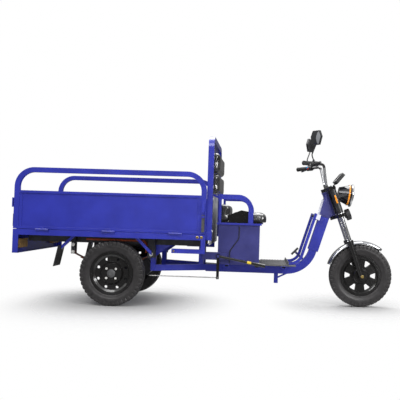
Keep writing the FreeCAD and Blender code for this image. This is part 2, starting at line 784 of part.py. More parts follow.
def make_neck_stay():
    """Flat bar along the rear edge of the neck."""
    corners = neck_outline()
    low, top = corners[0], corners[-1]
    high = (low[0] + (top[0] - low[0]) * NECK_STAY_SHARE, low[1] + (top[1] - low[1]) * NECK_STAY_SHARE)
    length = math.hypot(high[0] - low[0], high[1] - low[1])
    out = ((low[1] - high[1]) / length * NECK_STAY_DEPTH, (high[0] - low[0]) / length * NECK_STAY_DEPTH)
    outline = [low, high, (high[0] + out[0], high[1] + out[1]), (low[0] + out[0], low[1] + out[1])]
    stay = plate(outline, (-NECK_STAY_WIDTH / 2, NECK_STAY_WIDTH / 2))
    return [stay.cut(make_guard_bridge()[0])]


def beam_edge(x, rear_y, front_x):
    """Distance from the middle of one edge of a spread beam, at one place along x."""
    near = MAIN_TUBE_WIDTH / 2
    return near + (rear_y - near) * (front_x - x) / (front_x - SPREAD_REAR)


def make_subframe():
    """Two beams that spread from the main tube to the rear, with posts and gussets, and the cross tubes."""
    top_z = MAIN_TUBE_Z + MAIN_TUBE_DEPTH / 2
    low_z = top_z - SPREAD_BEAM_HEIGHT
    half = SPREAD_BEAM_WIDTH / 2
    span = (RAIL_Y - half, RAIL_Y + half)
    near = MAIN_TUBE_WIDTH / 2
    outline = [(SPREAD_FRONT, near), (SPREAD_FRONT + SPREAD_TIP, near), (SPREAD_REAR, span[1]),
               (SPREAD_REAR, span[0])]
    corners = [point(x, y, low_z) for x, y in outline]
    beam = Part.Face(Part.makePolygon(corners + corners[:1])).extrude(point(0, 0, SPREAD_BEAM_HEIGHT))
    post = box_tube((SPREAD_REAR - SPREAD_POST_WIDTH, SPREAD_REAR), span, (low_z, RAIL_BOTTOM_Z),
                    TUBE_WALL, 2)
    slope = [(SPREAD_REAR, RAIL_BOTTOM_Z), (SPREAD_REAR + SPREAD_GUSSET_AHEAD, RAIL_BOTTOM_Z),
             (SPREAD_REAR, RAIL_BOTTOM_Z - SPREAD_GUSSET_DROP)]
    gusset = plate(slope, (RAIL_Y - NECK_SHEET / 2, RAIL_Y + NECK_SHEET / 2))
    front = (BED_FRONT - RAIL_END_GAP - SPREAD_POST_WIDTH, BED_FRONT - RAIL_END_GAP)
    inner = beam_edge(front[0], span[0], SPREAD_FRONT)
    outer = beam_edge(front[1], span[1], SPREAD_FRONT + SPREAD_TIP)
    middle = (inner + outer) / 2
    stay = box_tube(front, (middle - half, middle + half), (top_z, RAIL_BOTTOM_Z), TUBE_WALL, 2)
    solids = both_sides([beam, post, gusset, stay])
    reach = SEAT_BOX_WIDTH / 2
    length = FOOTBOARD_FRONT - SEAT_BOX_REAR
    for share in OUTRIGGER_SHARES:
        x = SEAT_BOX_REAR + length * share
        solids.append(box_tube((x - OUTRIGGER_WIDTH / 2, x + OUTRIGGER_WIDTH / 2), (-reach, reach),
                               (top_z, FLOOR_LINE_Z), TUBE_WALL, 1))
    return solids


def make_chassis_rails():
    """Two rails under the bed and the tubes that tie them."""
    x_span = (BED_REAR + RAIL_END_GAP, BED_FRONT - RAIL_END_GAP)
    rail = box_tube(x_span, (RAIL_Y - RAIL_WIDTH / 2, RAIL_Y + RAIL_WIDTH / 2),
                    (RAIL_BOTTOM_Z, RAIL_TOP_Z), TUBE_WALL, 0)
    solids = both_sides([rail])
    inner = RAIL_Y - RAIL_WIDTH / 2
    for share in TIE_TUBE_SHARES:
        x = x_span[0] + (x_span[1] - x_span[0]) * share
        solids.append(box_tube((x - RAIL_WIDTH / 2, x + RAIL_WIDTH / 2), (-inner, inner),
                               (RAIL_BOTTOM_Z, RAIL_TOP_Z), TUBE_WALL, 1))
    return solids


def neck_outline():
    """Corners in x and z of the neck between the sleeve and the head tube."""
    x, z = sleeve_route()[-1]
    lean = math.radians(MAIN_TUBE_LEAN)
    half = SLEEVE_DEPTH / 2
    rear = (x - half * math.cos(lean), z + half * math.sin(lean))
    front = (x + half * math.cos(lean), z - half * math.sin(lean))
    low = fork_place(-FORK_OFFSET, 0, head_span()[0])
    high = fork_place(-FORK_OFFSET, 0, head_span()[1])
    return [rear, front, (low.x, low.z), (high.x, high.z)]


def head_span():
    """Lowest and highest place of the head tube along the fork's w."""
    low = LOWER_CROWN_W + CROWN_THICKNESS + FACE_GAP + BEARING_HEIGHT
    return low, UPPER_CROWN_W - FACE_GAP - BEARING_HEIGHT


def make_head_tube():
    low, high = head_span()
    start = point(-FORK_OFFSET, 0, low)
    end = point(-FORK_OFFSET, 0, high)
    tube = raked(rod(start, end, HEAD_TUBE_RADIUS))
    half = NECK_WIDTH / 2
    neck = plate(neck_outline(), (-half, half))
    bore = raked(rod(start.sub(point(0, 0, OVERRUN)), end.add(point(0, 0, OVERRUN)), HEAD_TUBE_BORE))
    room = BEARING_RADIUS + FACE_GAP
    below = raked(rod(start.sub(point(0, 0, CROWN_THICKNESS)), start, room))
    above = raked(rod(end, end.add(point(0, 0, CROWN_THICKNESS)), room))
    return [tube.fuse(neck).cut(bore).cut(below).cut(above)]


def make_headset_bearings():
    """Upper and lower bearing rings between the head tube and the crowns."""
    low, high = head_span()
    rings = []
    for start in (low - BEARING_HEIGHT, high):
        foot = point(-FORK_OFFSET, 0, start)
        rings.append(raked(ring(foot, foot.add(point(0, 0, BEARING_HEIGHT)), BEARING_RADIUS,
                                STEM_RADIUS + RUN_FIT)))
    return rings


def make_stand_bracket():
    """Short bracket under the main tube with a slanted brace."""
    x = (STAND_AT - STAND_WIDTH / 2, STAND_AT + STAND_WIDTH / 2)
    top = MAIN_TUBE_Z - MAIN_TUBE_DEPTH / 2
    stand = block(x, (-STAND_SHEET / 2, STAND_SHEET / 2), (top - STAND_DROP, top))
    foot = point(STAND_AT, 0, top - STAND_DROP / 2)
    brace = rod(foot, point(STAND_AT + STAND_BRACE_REACH, 0, MAIN_TUBE_Z), STAND_BRACE_RADIUS)
    return [stand.fuse(brace.cut(make_main_tube()[0]))]


# Cargo bed


def make_bed_frame():
    """Sills round the bed and the cross tubes under the floor."""
    z = (SILL_BOTTOM_Z, SILL_TOP_Z)
    inner = BED_HALF - SILL_WIDTH
    solids = both_sides([box_tube((BED_REAR, BED_FRONT), (inner, BED_HALF), z, TUBE_WALL, 0)])
    places = [BED_REAR + SILL_WIDTH / 2, BED_FRONT - SILL_WIDTH / 2]
    places += [BED_REAR + BED_LENGTH * share for share in CROSS_SHARES]
    places += [FLAP_ARM_TOP_X - FLAP_ARM_DEPTH / 2, WHEEL_STAY_X + FLAP_ARM_DEPTH / 2]
    for x in places:
        solids.append(box_tube((x - CROSS_WIDTH / 2, x + CROSS_WIDTH / 2), (-inner, inner), z, TUBE_WALL,
                               1))
    return solids


def make_bed_floor():
    reach = GATE_INNER - LOOSE_GAP
    return [block((BED_REAR + GATE_DEPTH + LOOSE_GAP, BED_FRONT), (-reach, reach),
                  (SILL_TOP_Z, SILL_TOP_Z + FLOOR_SHEET))]


def make_side_loops():
    """Slotted brackets that hang from the front of the sills."""
    y = (BED_HALF - SIDE_LOOP_DEPTH, BED_HALF)
    front = BED_FRONT
    rear = BED_FRONT - SIDE_LOOP_LENGTH
    low = SILL_BOTTOM_Z - SIDE_LOOP_DROP
    outline = [(front, SILL_BOTTOM_Z), (front, low), (rear, low), (rear, low + SIDE_LOOP_BAR),
               (front - SIDE_LOOP_BAR, low + SIDE_LOOP_BAR), (front - SIDE_LOOP_BAR, SILL_BOTTOM_Z)]
    bolt_at = point(rear + SIDE_LOOP_BAR / 2, BED_HALF, low + SIDE_LOOP_BAR / 2)
    bolt = rod(bolt_at, bolt_at.add(point(0, BOLT_HEAD, 0)), BOLT_RADIUS)
    return both_sides([plate(outline, y), bolt])


def make_tail_panel():
    """Folded panel under the rear sill, with openings for the lamps."""
    low = SILL_BOTTOM_Z - TAIL_DROP
    outer = block((BED_REAR, BED_REAR + TAIL_DEPTH), (-BED_HALF, BED_HALF), (low, SILL_BOTTOM_Z))
    inner = BED_HALF - TAIL_SHEET
    pocket = block((BED_REAR + TAIL_SHEET, BED_REAR + TAIL_DEPTH), (-inner, inner),
                   (low + TAIL_SHEET, SILL_BOTTOM_Z))
    panel = outer.cut(pocket)
    for y in (-LAMP_Y, LAMP_Y):
        panel = panel.cut(lamp_block(y, BED_REAR - OVERRUN, BED_REAR + TAIL_DEPTH))
    return [panel]


def lamp_block(y, rear, front):
    half = LAMP_LENGTH / 2
    low = SILL_BOTTOM_Z - LAMP_RISE - LAMP_HEIGHT / 2
    return block((rear, front), (y - half, y + half), (low, low + LAMP_HEIGHT))


def make_tail_lamps():
    return [lamp_block(y, BED_REAR - LAMP_PROUD, BED_REAR + LAMP_DEPTH) for y in (-LAMP_Y, LAMP_Y)]


def flap_strip(length, width, thickness, drop):
    """Leaning strip behind the left rear wheel, hung from the top of the flap."""
    y = (REAR_TRACK / 2 - width / 2, REAR_TRACK / 2 + width / 2)
    strip = block((-thickness, 0), y, (-length, drop))
    strip.translate(point(FLAP_TOP_X, 0, FLAP_TOP_Z))
    return turned(strip, point(FLAP_TOP_X, 0, FLAP_TOP_Z), point(0, 1, 0), FLAP_LEAN)


def make_mudflaps():
    return both_sides([flap_strip(FLAP_HEIGHT, FLAP_WIDTH, FLAP_SHEET, 0)])


def make_flap_arms():
    """Struts from the bed down to the mudflaps."""
    y = (REAR_TRACK / 2 - FLAP_ARM_WIDTH / 2, REAR_TRACK / 2 + FLAP_ARM_WIDTH / 2)
    top = SILL_BOTTOM_Z
    front = FLAP_ARM_TOP_X
    outline = [(front, top), (front - FLAP_ARM_DEPTH, top), (FLAP_TOP_X, FLAP_TOP_Z),
               (FLAP_TOP_X, FLAP_TOP_Z - FLAP_ARM_DEPTH)]
    arm = plate(outline, y)
    behind = flap_strip(FLAP_HEIGHT, FLAP_WIDTH, FLAP_HEIGHT, FLAP_HEIGHT)
    return both_sides([arm.cut(behind)])


def make_wheel_stays():
    """Struts from the bed down ahead of the rear wheels."""
    y = (REAR_TRACK / 2 - FLAP_ARM_WIDTH / 2, REAR_TRACK / 2 + FLAP_ARM_WIDTH / 2)
    tip_x = WHEEL_STAY_X + WHEEL_STAY_REACH
    tip_z = SILL_BOTTOM_Z - WHEEL_STAY_DROP
    outline = [(WHEEL_STAY_X, SILL_BOTTOM_Z), (WHEEL_STAY_X + FLAP_ARM_DEPTH, SILL_BOTTOM_Z),
               (tip_x, tip_z + FLAP_ARM_DEPTH), (tip_x, tip_z)]
    return both_sides([plate(outline, y)])


# Springs and rear axle


def spring_centre():
    """Centre and radius of the arc through the two spring eyes and the pad."""
    ahead, behind = SPRING_FRONT, -SPRING_REAR
    middle = (ahead + behind) / 2
    half = (ahead - behind) / 2
    radius = (half * half + SPRING_SAG * SPRING_SAG) / (SPRING_SAG + SPRING_SAG)
    return middle, SPRING_MID_Z + radius, radius


def make_leaf_springs():
    """Packs of leaves that bow down to the axle, with an eye at each end of the longest leaf."""
    x, z, radius = spring_centre()
    half = math.degrees(math.asin((SPRING_FRONT + SPRING_REAR) / 2 / radius))
    y = (SPRING_Y - SPRING_WIDTH / 2, SPRING_Y + SPRING_WIDTH / 2)
    solids = []
    for count, share in enumerate(LEAF_SHARES):
        angles = (270 - half * share, 270 + half * share)
        leaf = arc_strip((x, z), radius + count * LEAF_THICKNESS, LEAF_THICKNESS, angles, y)
        if count == 0:
            for eye_x in (SPRING_FRONT, -SPRING_REAR):
                low = point(eye_x, y[0], SPRING_EYE_Z)
                high = point(eye_x, y[1], SPRING_EYE_Z)
                leaf = leaf.fuse(rod(low, high, EYE_RADIUS)).cut(rod(low, high, EYE_PIN_RADIUS + RUN_FIT))
        solids.append(leaf)
    return both_sides(solids)


def make_spring_hangers():
    """Front brackets and rear shackles that carry the spring eyes, with their pins."""
    inner = RAIL_Y + RAIL_WIDTH / 2
    gap = SPRING_Y - SPRING_WIDTH / 2 - SEAT_GAP
    outer = SPRING_Y + SPRING_WIDTH / 2 + SEAT_GAP
    bracket = block((SPRING_FRONT - HANGER_WIDTH / 2, SPRING_FRONT + HANGER_WIDTH / 2),
                    (inner, outer + HANGER_SHEET),
                    (SPRING_EYE_Z - HANGER_WIDTH / 2, RAIL_TOP_Z))
    slot_top = SPRING_EYE_Z + EYE_RADIUS + HANGER_SHEET
    slot = block((SPRING_FRONT - HANGER_WIDTH, SPRING_FRONT + HANGER_WIDTH), (gap, outer),
                 (SPRING_EYE_Z - HANGER_WIDTH, slot_top))
    shackle_top = SPRING_EYE_Z + SHACKLE_LENGTH
    links = []
    shackle_x = (-SPRING_REAR - SHACKLE_WIDTH / 2, -SPRING_REAR + SHACKLE_WIDTH / 2)
    half = SHACKLE_WIDTH / 2
    for y in (gap - HANGER_SHEET, outer):
        link = block(shackle_x, (y, y + HANGER_SHEET), (SPRING_EYE_Z - half, shackle_top + half))
        links.append(link)
    rear = block(shackle_x, (gap, outer), (shackle_top - half, RAIL_TOP_Z))
    rear = rear.fuse(block(shackle_x, (inner, outer), (shackle_top + half + SEAT_GAP, RAIL_TOP_Z)))
    solids = [bracket.cut(slot), rear] + links
    pins = []
    for x, z in ((SPRING_FRONT, SPRING_EYE_Z), (-SPRING_REAR, SPRING_EYE_Z), (-SPRING_REAR, shackle_top)):
        low = point(x, gap - HANGER_SHEET, z)
        high = point(x, outer + HANGER_SHEET, z)
        solids = [solid.cut(rod(low, high, EYE_PIN_RADIUS)) for solid in solids]
        pins.append(rod(low, high, EYE_PIN_RADIUS))
    return both_sides(solids + pins)


def drum_inner_y():
    """Distance from the middle to the open side of a brake drum."""
    return REAR_TRACK / 2 + REAR_DISC_SET - DRUM_WIDTH


def make_axle_housing():
    """Axle tube with gearbox case, spring pads and stub axles, one welded piece."""
    reach = drum_inner_y() - FACE_GAP
    tube = rod(point(0, -reach, REAR_AXLE_Z), point(0, reach, REAR_AXLE_Z), AXLE_TUBE_RADIUS)
    half = GEARBOX_WIDTH / 2
    nose = (MOTOR_AHEAD, REAR_AXLE_Z + MOTOR_RISE)
    case = rod(point(0, -half, REAR_AXLE_Z), point(0, half, REAR_AXLE_Z), GEARBOX_RADIUS)
    case = case.fuse(rod(point(nose[0], -half, nose[1]), point(nose[0], half, nose[1]),
                         GEARBOX_NOSE_RADIUS))
    housing = tube.fuse(case)
    x, z, radius = spring_centre()
    below = radius + len(LEAF_SHARES) * LEAF_THICKNESS + SEAT_GAP
    for y in (-SPRING_Y, SPRING_Y):
        span = (y - SPRING_PAD_WIDTH / 2, y + SPRING_PAD_WIDTH / 2)
        pad = block((-SPRING_PAD_LENGTH / 2, SPRING_PAD_LENGTH / 2), span, (REAR_AXLE_Z, SPRING_MID_Z))
        housing = housing.fuse(pad.cut(rod(point(x, span[0], z), point(x, span[1], z), below)))
    for side in (-1, 1):
        tip = REAR_TRACK / 2 + REAR_DISC_SET + REAR_DISC_BULGE + AXLE_STUB_PROUD
        stub = rod(point(0, side * (reach - OVERRUN), REAR_AXLE_Z), point(0, side * tip, REAR_AXLE_Z),
                   AXLE_STUB_RADIUS)
        housing = housing.fuse(stub)
    return [housing]


def make_brake_plates():
    """Brake backplates on the ends of the axle tube, with their arms."""
    outer = drum_inner_y() - FACE_GAP
    inner = outer - BACKPLATE_SHEET
    disc = ring(point(0, inner, REAR_AXLE_Z), point(0, outer, REAR_AXLE_Z), DRUM_RADIUS,
                AXLE_TUBE_RADIUS + RUN_FIT)
    arm_x = DRUM_RADIUS - BRAKE_ARM_WIDTH
    arm = block((arm_x - BRAKE_ARM_WIDTH / 2, arm_x + BRAKE_ARM_WIDTH / 2),
                (inner - BRAKE_ARM_SHEET, inner),
                (REAR_AXLE_Z - BRAKE_ARM_LENGTH / 2, REAR_AXLE_Z + BRAKE_ARM_LENGTH / 2))
    return both_sides([disc, arm])


def make_u_bolts():
    """Two bent bolts over each spring and the plate under the axle that they pull up."""
    x, z, radius = spring_centre()
    reach = abs(x) + SPRING_PAD_LENGTH / 2 + OVERRUN
    top = z - math.sqrt(radius * radius - reach * reach) + U_BOLT_RADIUS + LOOSE_GAP
    low = REAR_AXLE_Z - AXLE_TUBE_RADIUS - HANGER_SHEET - U_BOLT_RADIUS
    half = U_BOLT_SPAN / 2
    solids = []
    for bolt_x in (-AXLE_TUBE_RADIUS - U_BOLT_RADIUS - FACE_GAP,
                   AXLE_TUBE_RADIUS + U_BOLT_RADIUS + FACE_GAP):
        corners = [point(bolt_x, SPRING_Y - half, low), point(bolt_x, SPRING_Y - half, top),
                   point(bolt_x, SPRING_Y + half, top), point(bolt_x, SPRING_Y + half, low)]
        reach = U_BOLT_RADIUS + U_BOLT_RADIUS
        solids.append(round_pipe(corners, [reach, reach], U_BOLT_RADIUS))
    length = AXLE_TUBE_RADIUS + SPRING_PAD_LENGTH / 4
    under = REAR_AXLE_Z - AXLE_TUBE_RADIUS - SEAT_GAP
    base = block((-length, length), (SPRING_Y - half - U_BOLT_RADIUS, SPRING_Y + half + U_BOLT_RADIUS),
                 (under - HANGER_SHEET, under))
    return both_sides([solids[0].fuse(base).fuse(solids[1])])


def make_drive_motor():
    """Finned motor on the left face of the gearbox case."""
    x, z = MOTOR_AHEAD, REAR_AXLE_Z + MOTOR_RISE
    start = GEARBOX_WIDTH / 2
    motor = rod(point(x, start, z), point(x, start + MOTOR_LENGTH, z), MOTOR_RADIUS - MOTOR_FIN_HEIGHT)
    pitch = MOTOR_LENGTH / MOTOR_FIN_COUNT
    for count in range(MOTOR_FIN_COUNT):
        y = start + pitch * count
        motor = motor.fuse(rod(point(x, y, z), point(x, y + MOTOR_FIN_WIDTH, z), MOTOR_RADIUS))
    return [motor]


# Wheels


def tyre(outer_diameter, x, y, z):
    """Tyre with a crowned tread, full side walls and beads on the rim seat."""
    top = outer_diameter / 2
    bead = RIM_SEAT_OD / 2 + SEAT_GAP
    rim_half = RIM_WIDTH / 2 - RIM_LIP - SEAT_GAP
    wide = TYRE_WIDTH / 2
    shoulder = TYRE_SHOULDER_WIDTH / 2
    shoulder_r = top - TYRE_CROWN
    flange = RIM_FLANGE_OD / 2 + SEAT_GAP
    belly = (flange + shoulder_r) / 2
    inner_top = top - TYRE_TREAD

    def at(radius, across):
        return point(x + radius, y + across, z)

    edges = []
    for side in (-1, 1):
        edges.append(Part.LineSegment(at(bead, side * rim_half), at(flange, side * rim_half)).toShape())
        edges.append(Part.Arc(at(flange, side * rim_half), at(belly, side * wide),
                              at(shoulder_r, side * shoulder)).toShape())
        edges.append(Part.LineSegment(at(bead, side * rim_half),
                                      at(bead, side * (rim_half - TYRE_WALL))).toShape())
    edges.append(Part.Arc(at(shoulder_r, -shoulder), at(top, 0), at(shoulder_r, shoulder)).toShape())
    inner = [(bead, rim_half - TYRE_WALL), (belly, wide - TYRE_WALL), (inner_top, shoulder - TYRE_TREAD)]
    corners = [at(radius, -across) for radius, across in inner] + [at(radius, across) for radius,
                                                                   across in inner[::-1]]
    for start, end in zip(corners, corners[1:]):
        edges.append(Part.LineSegment(start, end).toShape())
    face = Part.Face(Part.Wire(Part.__sortEdges__(edges)))
    return face.revolve(point(x, y, z), point(0, 1, 0), 360)


def rim_ring(x, y, z):
    """Rim with two flanges, bead seats and a well."""
    seat = RIM_SEAT_OD / 2
    flange = RIM_FLANGE_OD / 2
    half = RIM_WIDTH / 2
    well_half = RIM_WELL_WIDTH / 2
    well = seat - RIM_WELL_DEPTH
    bevel = RIM_WELL_DEPTH / 2
    outside = [(flange, half), (flange, half - RIM_LIP), (seat, half - RIM_LIP), (seat, well_half + bevel),
               (well, well_half)]
    outline = outside + [(radius, -across) for radius, across in outside[::-1]]
    inside = [(seat - RIM_SHEET, half), (seat - RIM_SHEET, well_half + bevel + RIM_SHEET / 2),
              (well - RIM_SHEET, well_half)]
    outline += [(radius, -across) for radius, across in inside]
    outline += inside[::-1]
    return lathe([(radius, y + across) for radius, across in outline], x, z)


def make_rear_wheel():
    """Left rear wheel: rim, pressed disc with vents, brake drum and hub cap."""
    y = REAR_TRACK / 2
    face = y + REAR_DISC_SET
    bulge = face + REAR_DISC_BULGE
    edge = RIM_SEAT_OD / 2 - RIM_WELL_DEPTH - RIM_SHEET
    sheet = REAR_DISC_SHEET
    bore = AXLE_STUB_RADIUS + RUN_FIT
    front = [(edge, face), (REAR_DISC_STEP_RADIUS, face), (REAR_DISC_FACE_RADIUS, bulge), (bore, bulge)]
    back = [(bore, bulge - sheet), (REAR_DISC_FACE_RADIUS - sheet / 2, bulge - sheet),
            (REAR_DISC_STEP_RADIUS - sheet / 2, face - sheet), (edge, face - sheet)]
    disc = lathe(front + back, 0, REAR_AXLE_Z)
    for count in range(REAR_VENT_COUNT):
        angle = 2 * math.pi * (count + 1 / 2) / REAR_VENT_COUNT
        x = REAR_VENT_CIRCLE * math.cos(angle)
        z = REAR_AXLE_Z + REAR_VENT_CIRCLE * math.sin(angle)
        disc = disc.cut(rod(point(x, face - REAR_DISC_BULGE, z), point(x, bulge, z), REAR_VENT_RADIUS))
    wheel = rim_ring(0, y, REAR_AXLE_Z).fuse(disc)
    drum_back = face - DRUM_WIDTH
    drum_outer = DRUM_RADIUS - SEAT_GAP
    drum = [(drum_outer, face - sheet), (drum_outer, drum_back), (drum_outer - DRUM_WALL, drum_back),
            (drum_outer - DRUM_WALL, face - sheet - DRUM_WALL), (bore, face - sheet - DRUM_WALL),
            (bore, bulge - sheet),
            (REAR_DISC_FACE_RADIUS - sheet / 2, bulge - sheet),
            (REAR_DISC_STEP_RADIUS - sheet / 2, face - sheet)]
    return [wheel, lathe(drum, 0, REAR_AXLE_Z)]


def make_wheel_nuts():
    """Lug nuts and hub cap of the left rear wheel."""
    face = REAR_TRACK / 2 + REAR_DISC_SET + REAR_DISC_BULGE
    solids = []
    for count in range(LUG_COUNT):
        angle = math.pi * (2 * count + 1) / LUG_COUNT
        x = LUG_CIRCLE * math.cos(angle)
        z = REAR_AXLE_Z + LUG_CIRCLE * math.sin(angle)
        corners = [point(x + LUG_NUT_RADIUS * math.cos(math.pi * k / 3), face,
                         z + LUG_NUT_RADIUS * math.sin(math.pi * k / 3)) for k in range(6)]
        nut = Part.Face(Part.makePolygon(corners + corners[:1])).extrude(point(0, LUG_NUT_HEIGHT, 0))
        solids.append(nut)
    bore = AXLE_STUB_RADIUS + RUN_FIT
    depth = AXLE_STUB_PROUD + FACE_GAP
    cap = [(bore, face), (HUB_CAP_RADIUS, face), (HUB_CAP_RADIUS, face + HUB_CAP_HEIGHT / 2),
           (HUB_CAP_RADIUS / 2, face + HUB_CAP_HEIGHT), (0, face + HUB_CAP_HEIGHT), (0, face + depth),
           (bore, face + depth)]
    solids.append(lathe(cap, 0, REAR_AXLE_Z))
    return solids


def front_window():
    """Rounded three-sided window of the front wheel's web, on the +x side."""
    tip = FRONT_WINDOW_TIP / 2
    base = FRONT_WINDOW_BASE / 2
    x = WHEELBASE
    z = FRONT_AXLE_Z
    half = FRONT_WEB_WIDTH
    outline = [(x + FRONT_WINDOW_INNER, z - tip), (x + FRONT_WINDOW_OUTER, z - base),
               (x + FRONT_WINDOW_OUTER, z + base), (x + FRONT_WINDOW_INNER, z + tip)]
    window = plate(outline, (-half, half))
    edges = [edge for edge in window.Edges if abs(edge.Vertexes[0].Y - edge.Vertexes[1].Y) > half]
    return window.makeFillet(FRONT_WINDOW_ROUND, edges)


def make_front_wheel():
    """Cast wheel: rim, web with windows and hub in one piece."""
    edge = RIM_SEAT_OD / 2 - RIM_WELL_DEPTH - RIM_SHEET
    half = FRONT_WEB_WIDTH / 2
    hub = FRONT_HUB_WIDTH / 2
    bore = FRONT_AXLE_RADIUS + RUN_FIT
    outline = [(edge, half), (FRONT_HUB_RADIUS, half), (FRONT_HUB_RADIUS, hub - RIM_LIP),
               (FRONT_HUB_RADIUS - RIM_LIP, hub), (bore, hub)]
    outline += [(radius, -across) for radius, across in outline[::-1]]
    web = lathe(outline, WHEELBASE, FRONT_AXLE_Z)
    for count in range(FRONT_WINDOW_COUNT):
        angle = 360 * count / FRONT_WINDOW_COUNT
        web = web.cut(turned(front_window(), point(WHEELBASE, 0, FRONT_AXLE_Z), point(0, 1, 0), angle))
    return [rim_ring(WHEELBASE, 0, FRONT_AXLE_Z).fuse(web)]


# Drop sides, tailgate, hinges and latches


def gate_rail_route():
    half = POST_WIDTH / 2
    top = GATE_TOP_Z + RAIL_RISE - half
    rear = BED_REAR + half
    front = BED_FRONT - half
    return [(rear, GATE_BOTTOM_Z), (rear, top), (front, top), (front, GATE_BOTTOM_Z)]


def make_side_rail():
    """Bent bar that makes the posts and top rail of the left drop side, with its latch stud and hook."""
    rail = bent_bar(gate_rail_route(), RAIL_BEND, POST_WIDTH, (GATE_INNER, BED_HALF))
    x = side_latch_x()
    return [rail.fuse(latch_stud(x, BED_HALF)).fuse(latch_hook(x, BED_HALF))]


def gate_panel(span, outer):
    """Panel with edge tubes and a sheet set back from them, standing on the y+ side of the bed."""
    inner = outer - GATE_DEPTH
    low = block(span, (inner, outer), (GATE_BOTTOM_Z, GATE_BOTTOM_Z + GATE_EDGE))
    high = block(span, (inner, outer), (GATE_TOP_Z - GATE_EDGE, GATE_TOP_Z))
    face = outer - GATE_SET_BACK
    sheet = block(span, (face - GATE_SHEET, face), (GATE_BOTTOM_Z + GATE_EDGE, GATE_TOP_Z - GATE_EDGE))
    panel = low.fuse(high).fuse(sheet)
    step = face + GATE_STEP_DEPTH
    for start, end in ((span[0], span[0] + GATE_STEP), (span[1] - GATE_STEP, span[1])):
        panel = panel.fuse(block((start, end), (face, step),
                                 (GATE_BOTTOM_Z + GATE_EDGE, GATE_TOP_Z - GATE_EDGE)))
    return panel


def hinge_places(span):
    return [span[0] + (span[1] - span[0]) * share for share in HINGE_SHARES]


def hinge_fixed(x, outer):
    """Outer knuckles, pin and leaves of a hinge on the y+ sill, at one place along x."""
    y = outer + HINGE_OUT
    half = HINGE_LENGTH / 2
    gap = HINGE_LENGTH * HINGE_KNUCKLE_SHARE / 2
    solid = rod(point(x - half, y, HINGE_Z), point(x + half, y, HINGE_Z), HINGE_PIN_RADIUS)
    for start, end in ((x - half, x - gap), (x + gap, x + half)):
        solid = solid.fuse(rod(point(start, y, HINGE_Z), point(end, y, HINGE_Z), HINGE_RADIUS))
        solid = solid.fuse(block((start, end), (outer, outer + HINGE_LEAF),
                                 (SILL_TOP_Z - HINGE_LEAF_HEIGHT, SILL_TOP_Z)))
    return solid


def hinge_moving(x, outer):
    """Middle knuckle and leaf of a hinge on the y+ gate."""
    y = outer + HINGE_OUT
    half = HINGE_LENGTH * HINGE_KNUCKLE_SHARE / 2 - FACE_GAP
    knuckle = rod(point(x - half, y, HINGE_Z), point(x + half, y, HINGE_Z), HINGE_RADIUS)
    leaf = block((x - half, x + half), (outer, outer + HINGE_LEAF),
                 (HINGE_Z, GATE_BOTTOM_Z + HINGE_LEAF_HEIGHT))
    leaf = leaf.cut(block((x - half, x + half), (outer - OVERRUN, outer), (HINGE_Z, GATE_BOTTOM_Z)))
    bore = rod(point(x - HINGE_LENGTH, y, HINGE_Z), point(x + HINGE_LENGTH, y, HINGE_Z),
               HINGE_PIN_RADIUS + RUN_FIT)
    return knuckle.fuse(leaf).cut(bore)


def side_span():
    return BED_REAR + POST_WIDTH, BED_FRONT - POST_WIDTH


def make_side_gate():
    """Left drop side: panel and hinge knuckles."""
    gate = gate_panel(side_span(), BED_HALF)
    for x in hinge_places(side_span()):
        gate = gate.fuse(hinge_moving(x, BED_HALF))
    return [gate]


def latch_stud(x, outer):
    """Stud with a head that a latch lever turns on, on the y+ face."""
    start = point(x, outer, LATCH_PIVOT_Z)
    neck = rod(start, start.add(point(0, LATCH_OUT + SEAT_GAP, 0)), LATCH_STUD_RADIUS)
    head = start.add(point(0, LATCH_OUT + SEAT_GAP, 0))
    return neck.fuse(rod(head, head.add(point(0, LATCH_STUD_RADIUS, 0)), LATCH_HEAD_RADIUS))


def latch_lever(x, outer):
    """Hanging lever with a thick handle, on the y+ face."""
    y = (outer + SEAT_GAP, outer + LATCH_OUT)
    half = LATCH_WIDTH / 2
    bar = block((x - half, x + half), y, (LATCH_PIVOT_Z - LATCH_HANDLE, LATCH_PIVOT_Z + LATCH_TOE))
    grip = block((x - half, x + half), (y[0], y[0] + LATCH_GRIP_THICKNESS),
                 (LATCH_PIVOT_Z - LATCH_HANDLE, LATCH_PIVOT_Z - LATCH_HANDLE + LATCH_GRIP_LENGTH))
    bore = rod(point(x, outer, LATCH_PIVOT_Z), point(x, outer + LATCH_REACH, LATCH_PIVOT_Z),
               LATCH_STUD_RADIUS + RUN_FIT)
    return bar.fuse(grip).cut(bore)


def latch_hook(x, outer):
    """Bent hook above a latch lever, on the y+ face."""
    half = KEEPER_WIDTH / 2
    low = LATCH_PIVOT_Z + LATCH_TOE + KEEPER_LIFT
    bar = block((x - half, x + half), (outer, outer + KEEPER_OUT), (low, low + KEEPER_HEIGHT))
    return bar.cut(block((x - half, x + half), (outer, outer + KEEPER_OUT - KEEPER_BAR),
                         (low + KEEPER_BAR, low + KEEPER_HEIGHT - KEEPER_BAR)))


def side_latch_x():
    return BED_FRONT - POST_WIDTH / 2


def make_side_latch():
    return [latch_lever(side_latch_x(), BED_HALF)]


def to_tail(solid):
    """Turns a piece made for the y+ side so that it faces the rear of the bed."""
    copy = solid.copy()
    copy.rotate(point(0, 0, 0), point(0, 0, 1), 90)
    copy.translate(point(BED_REAR + BED_HALF, 0, 0))
    return copy


def tail_span():
    reach = GATE_INNER - LOOSE_GAP
    return -reach, reach


def tail_latch_places():
    reach = GATE_INNER - LOOSE_GAP - LATCH_INSET
    return -reach, reach


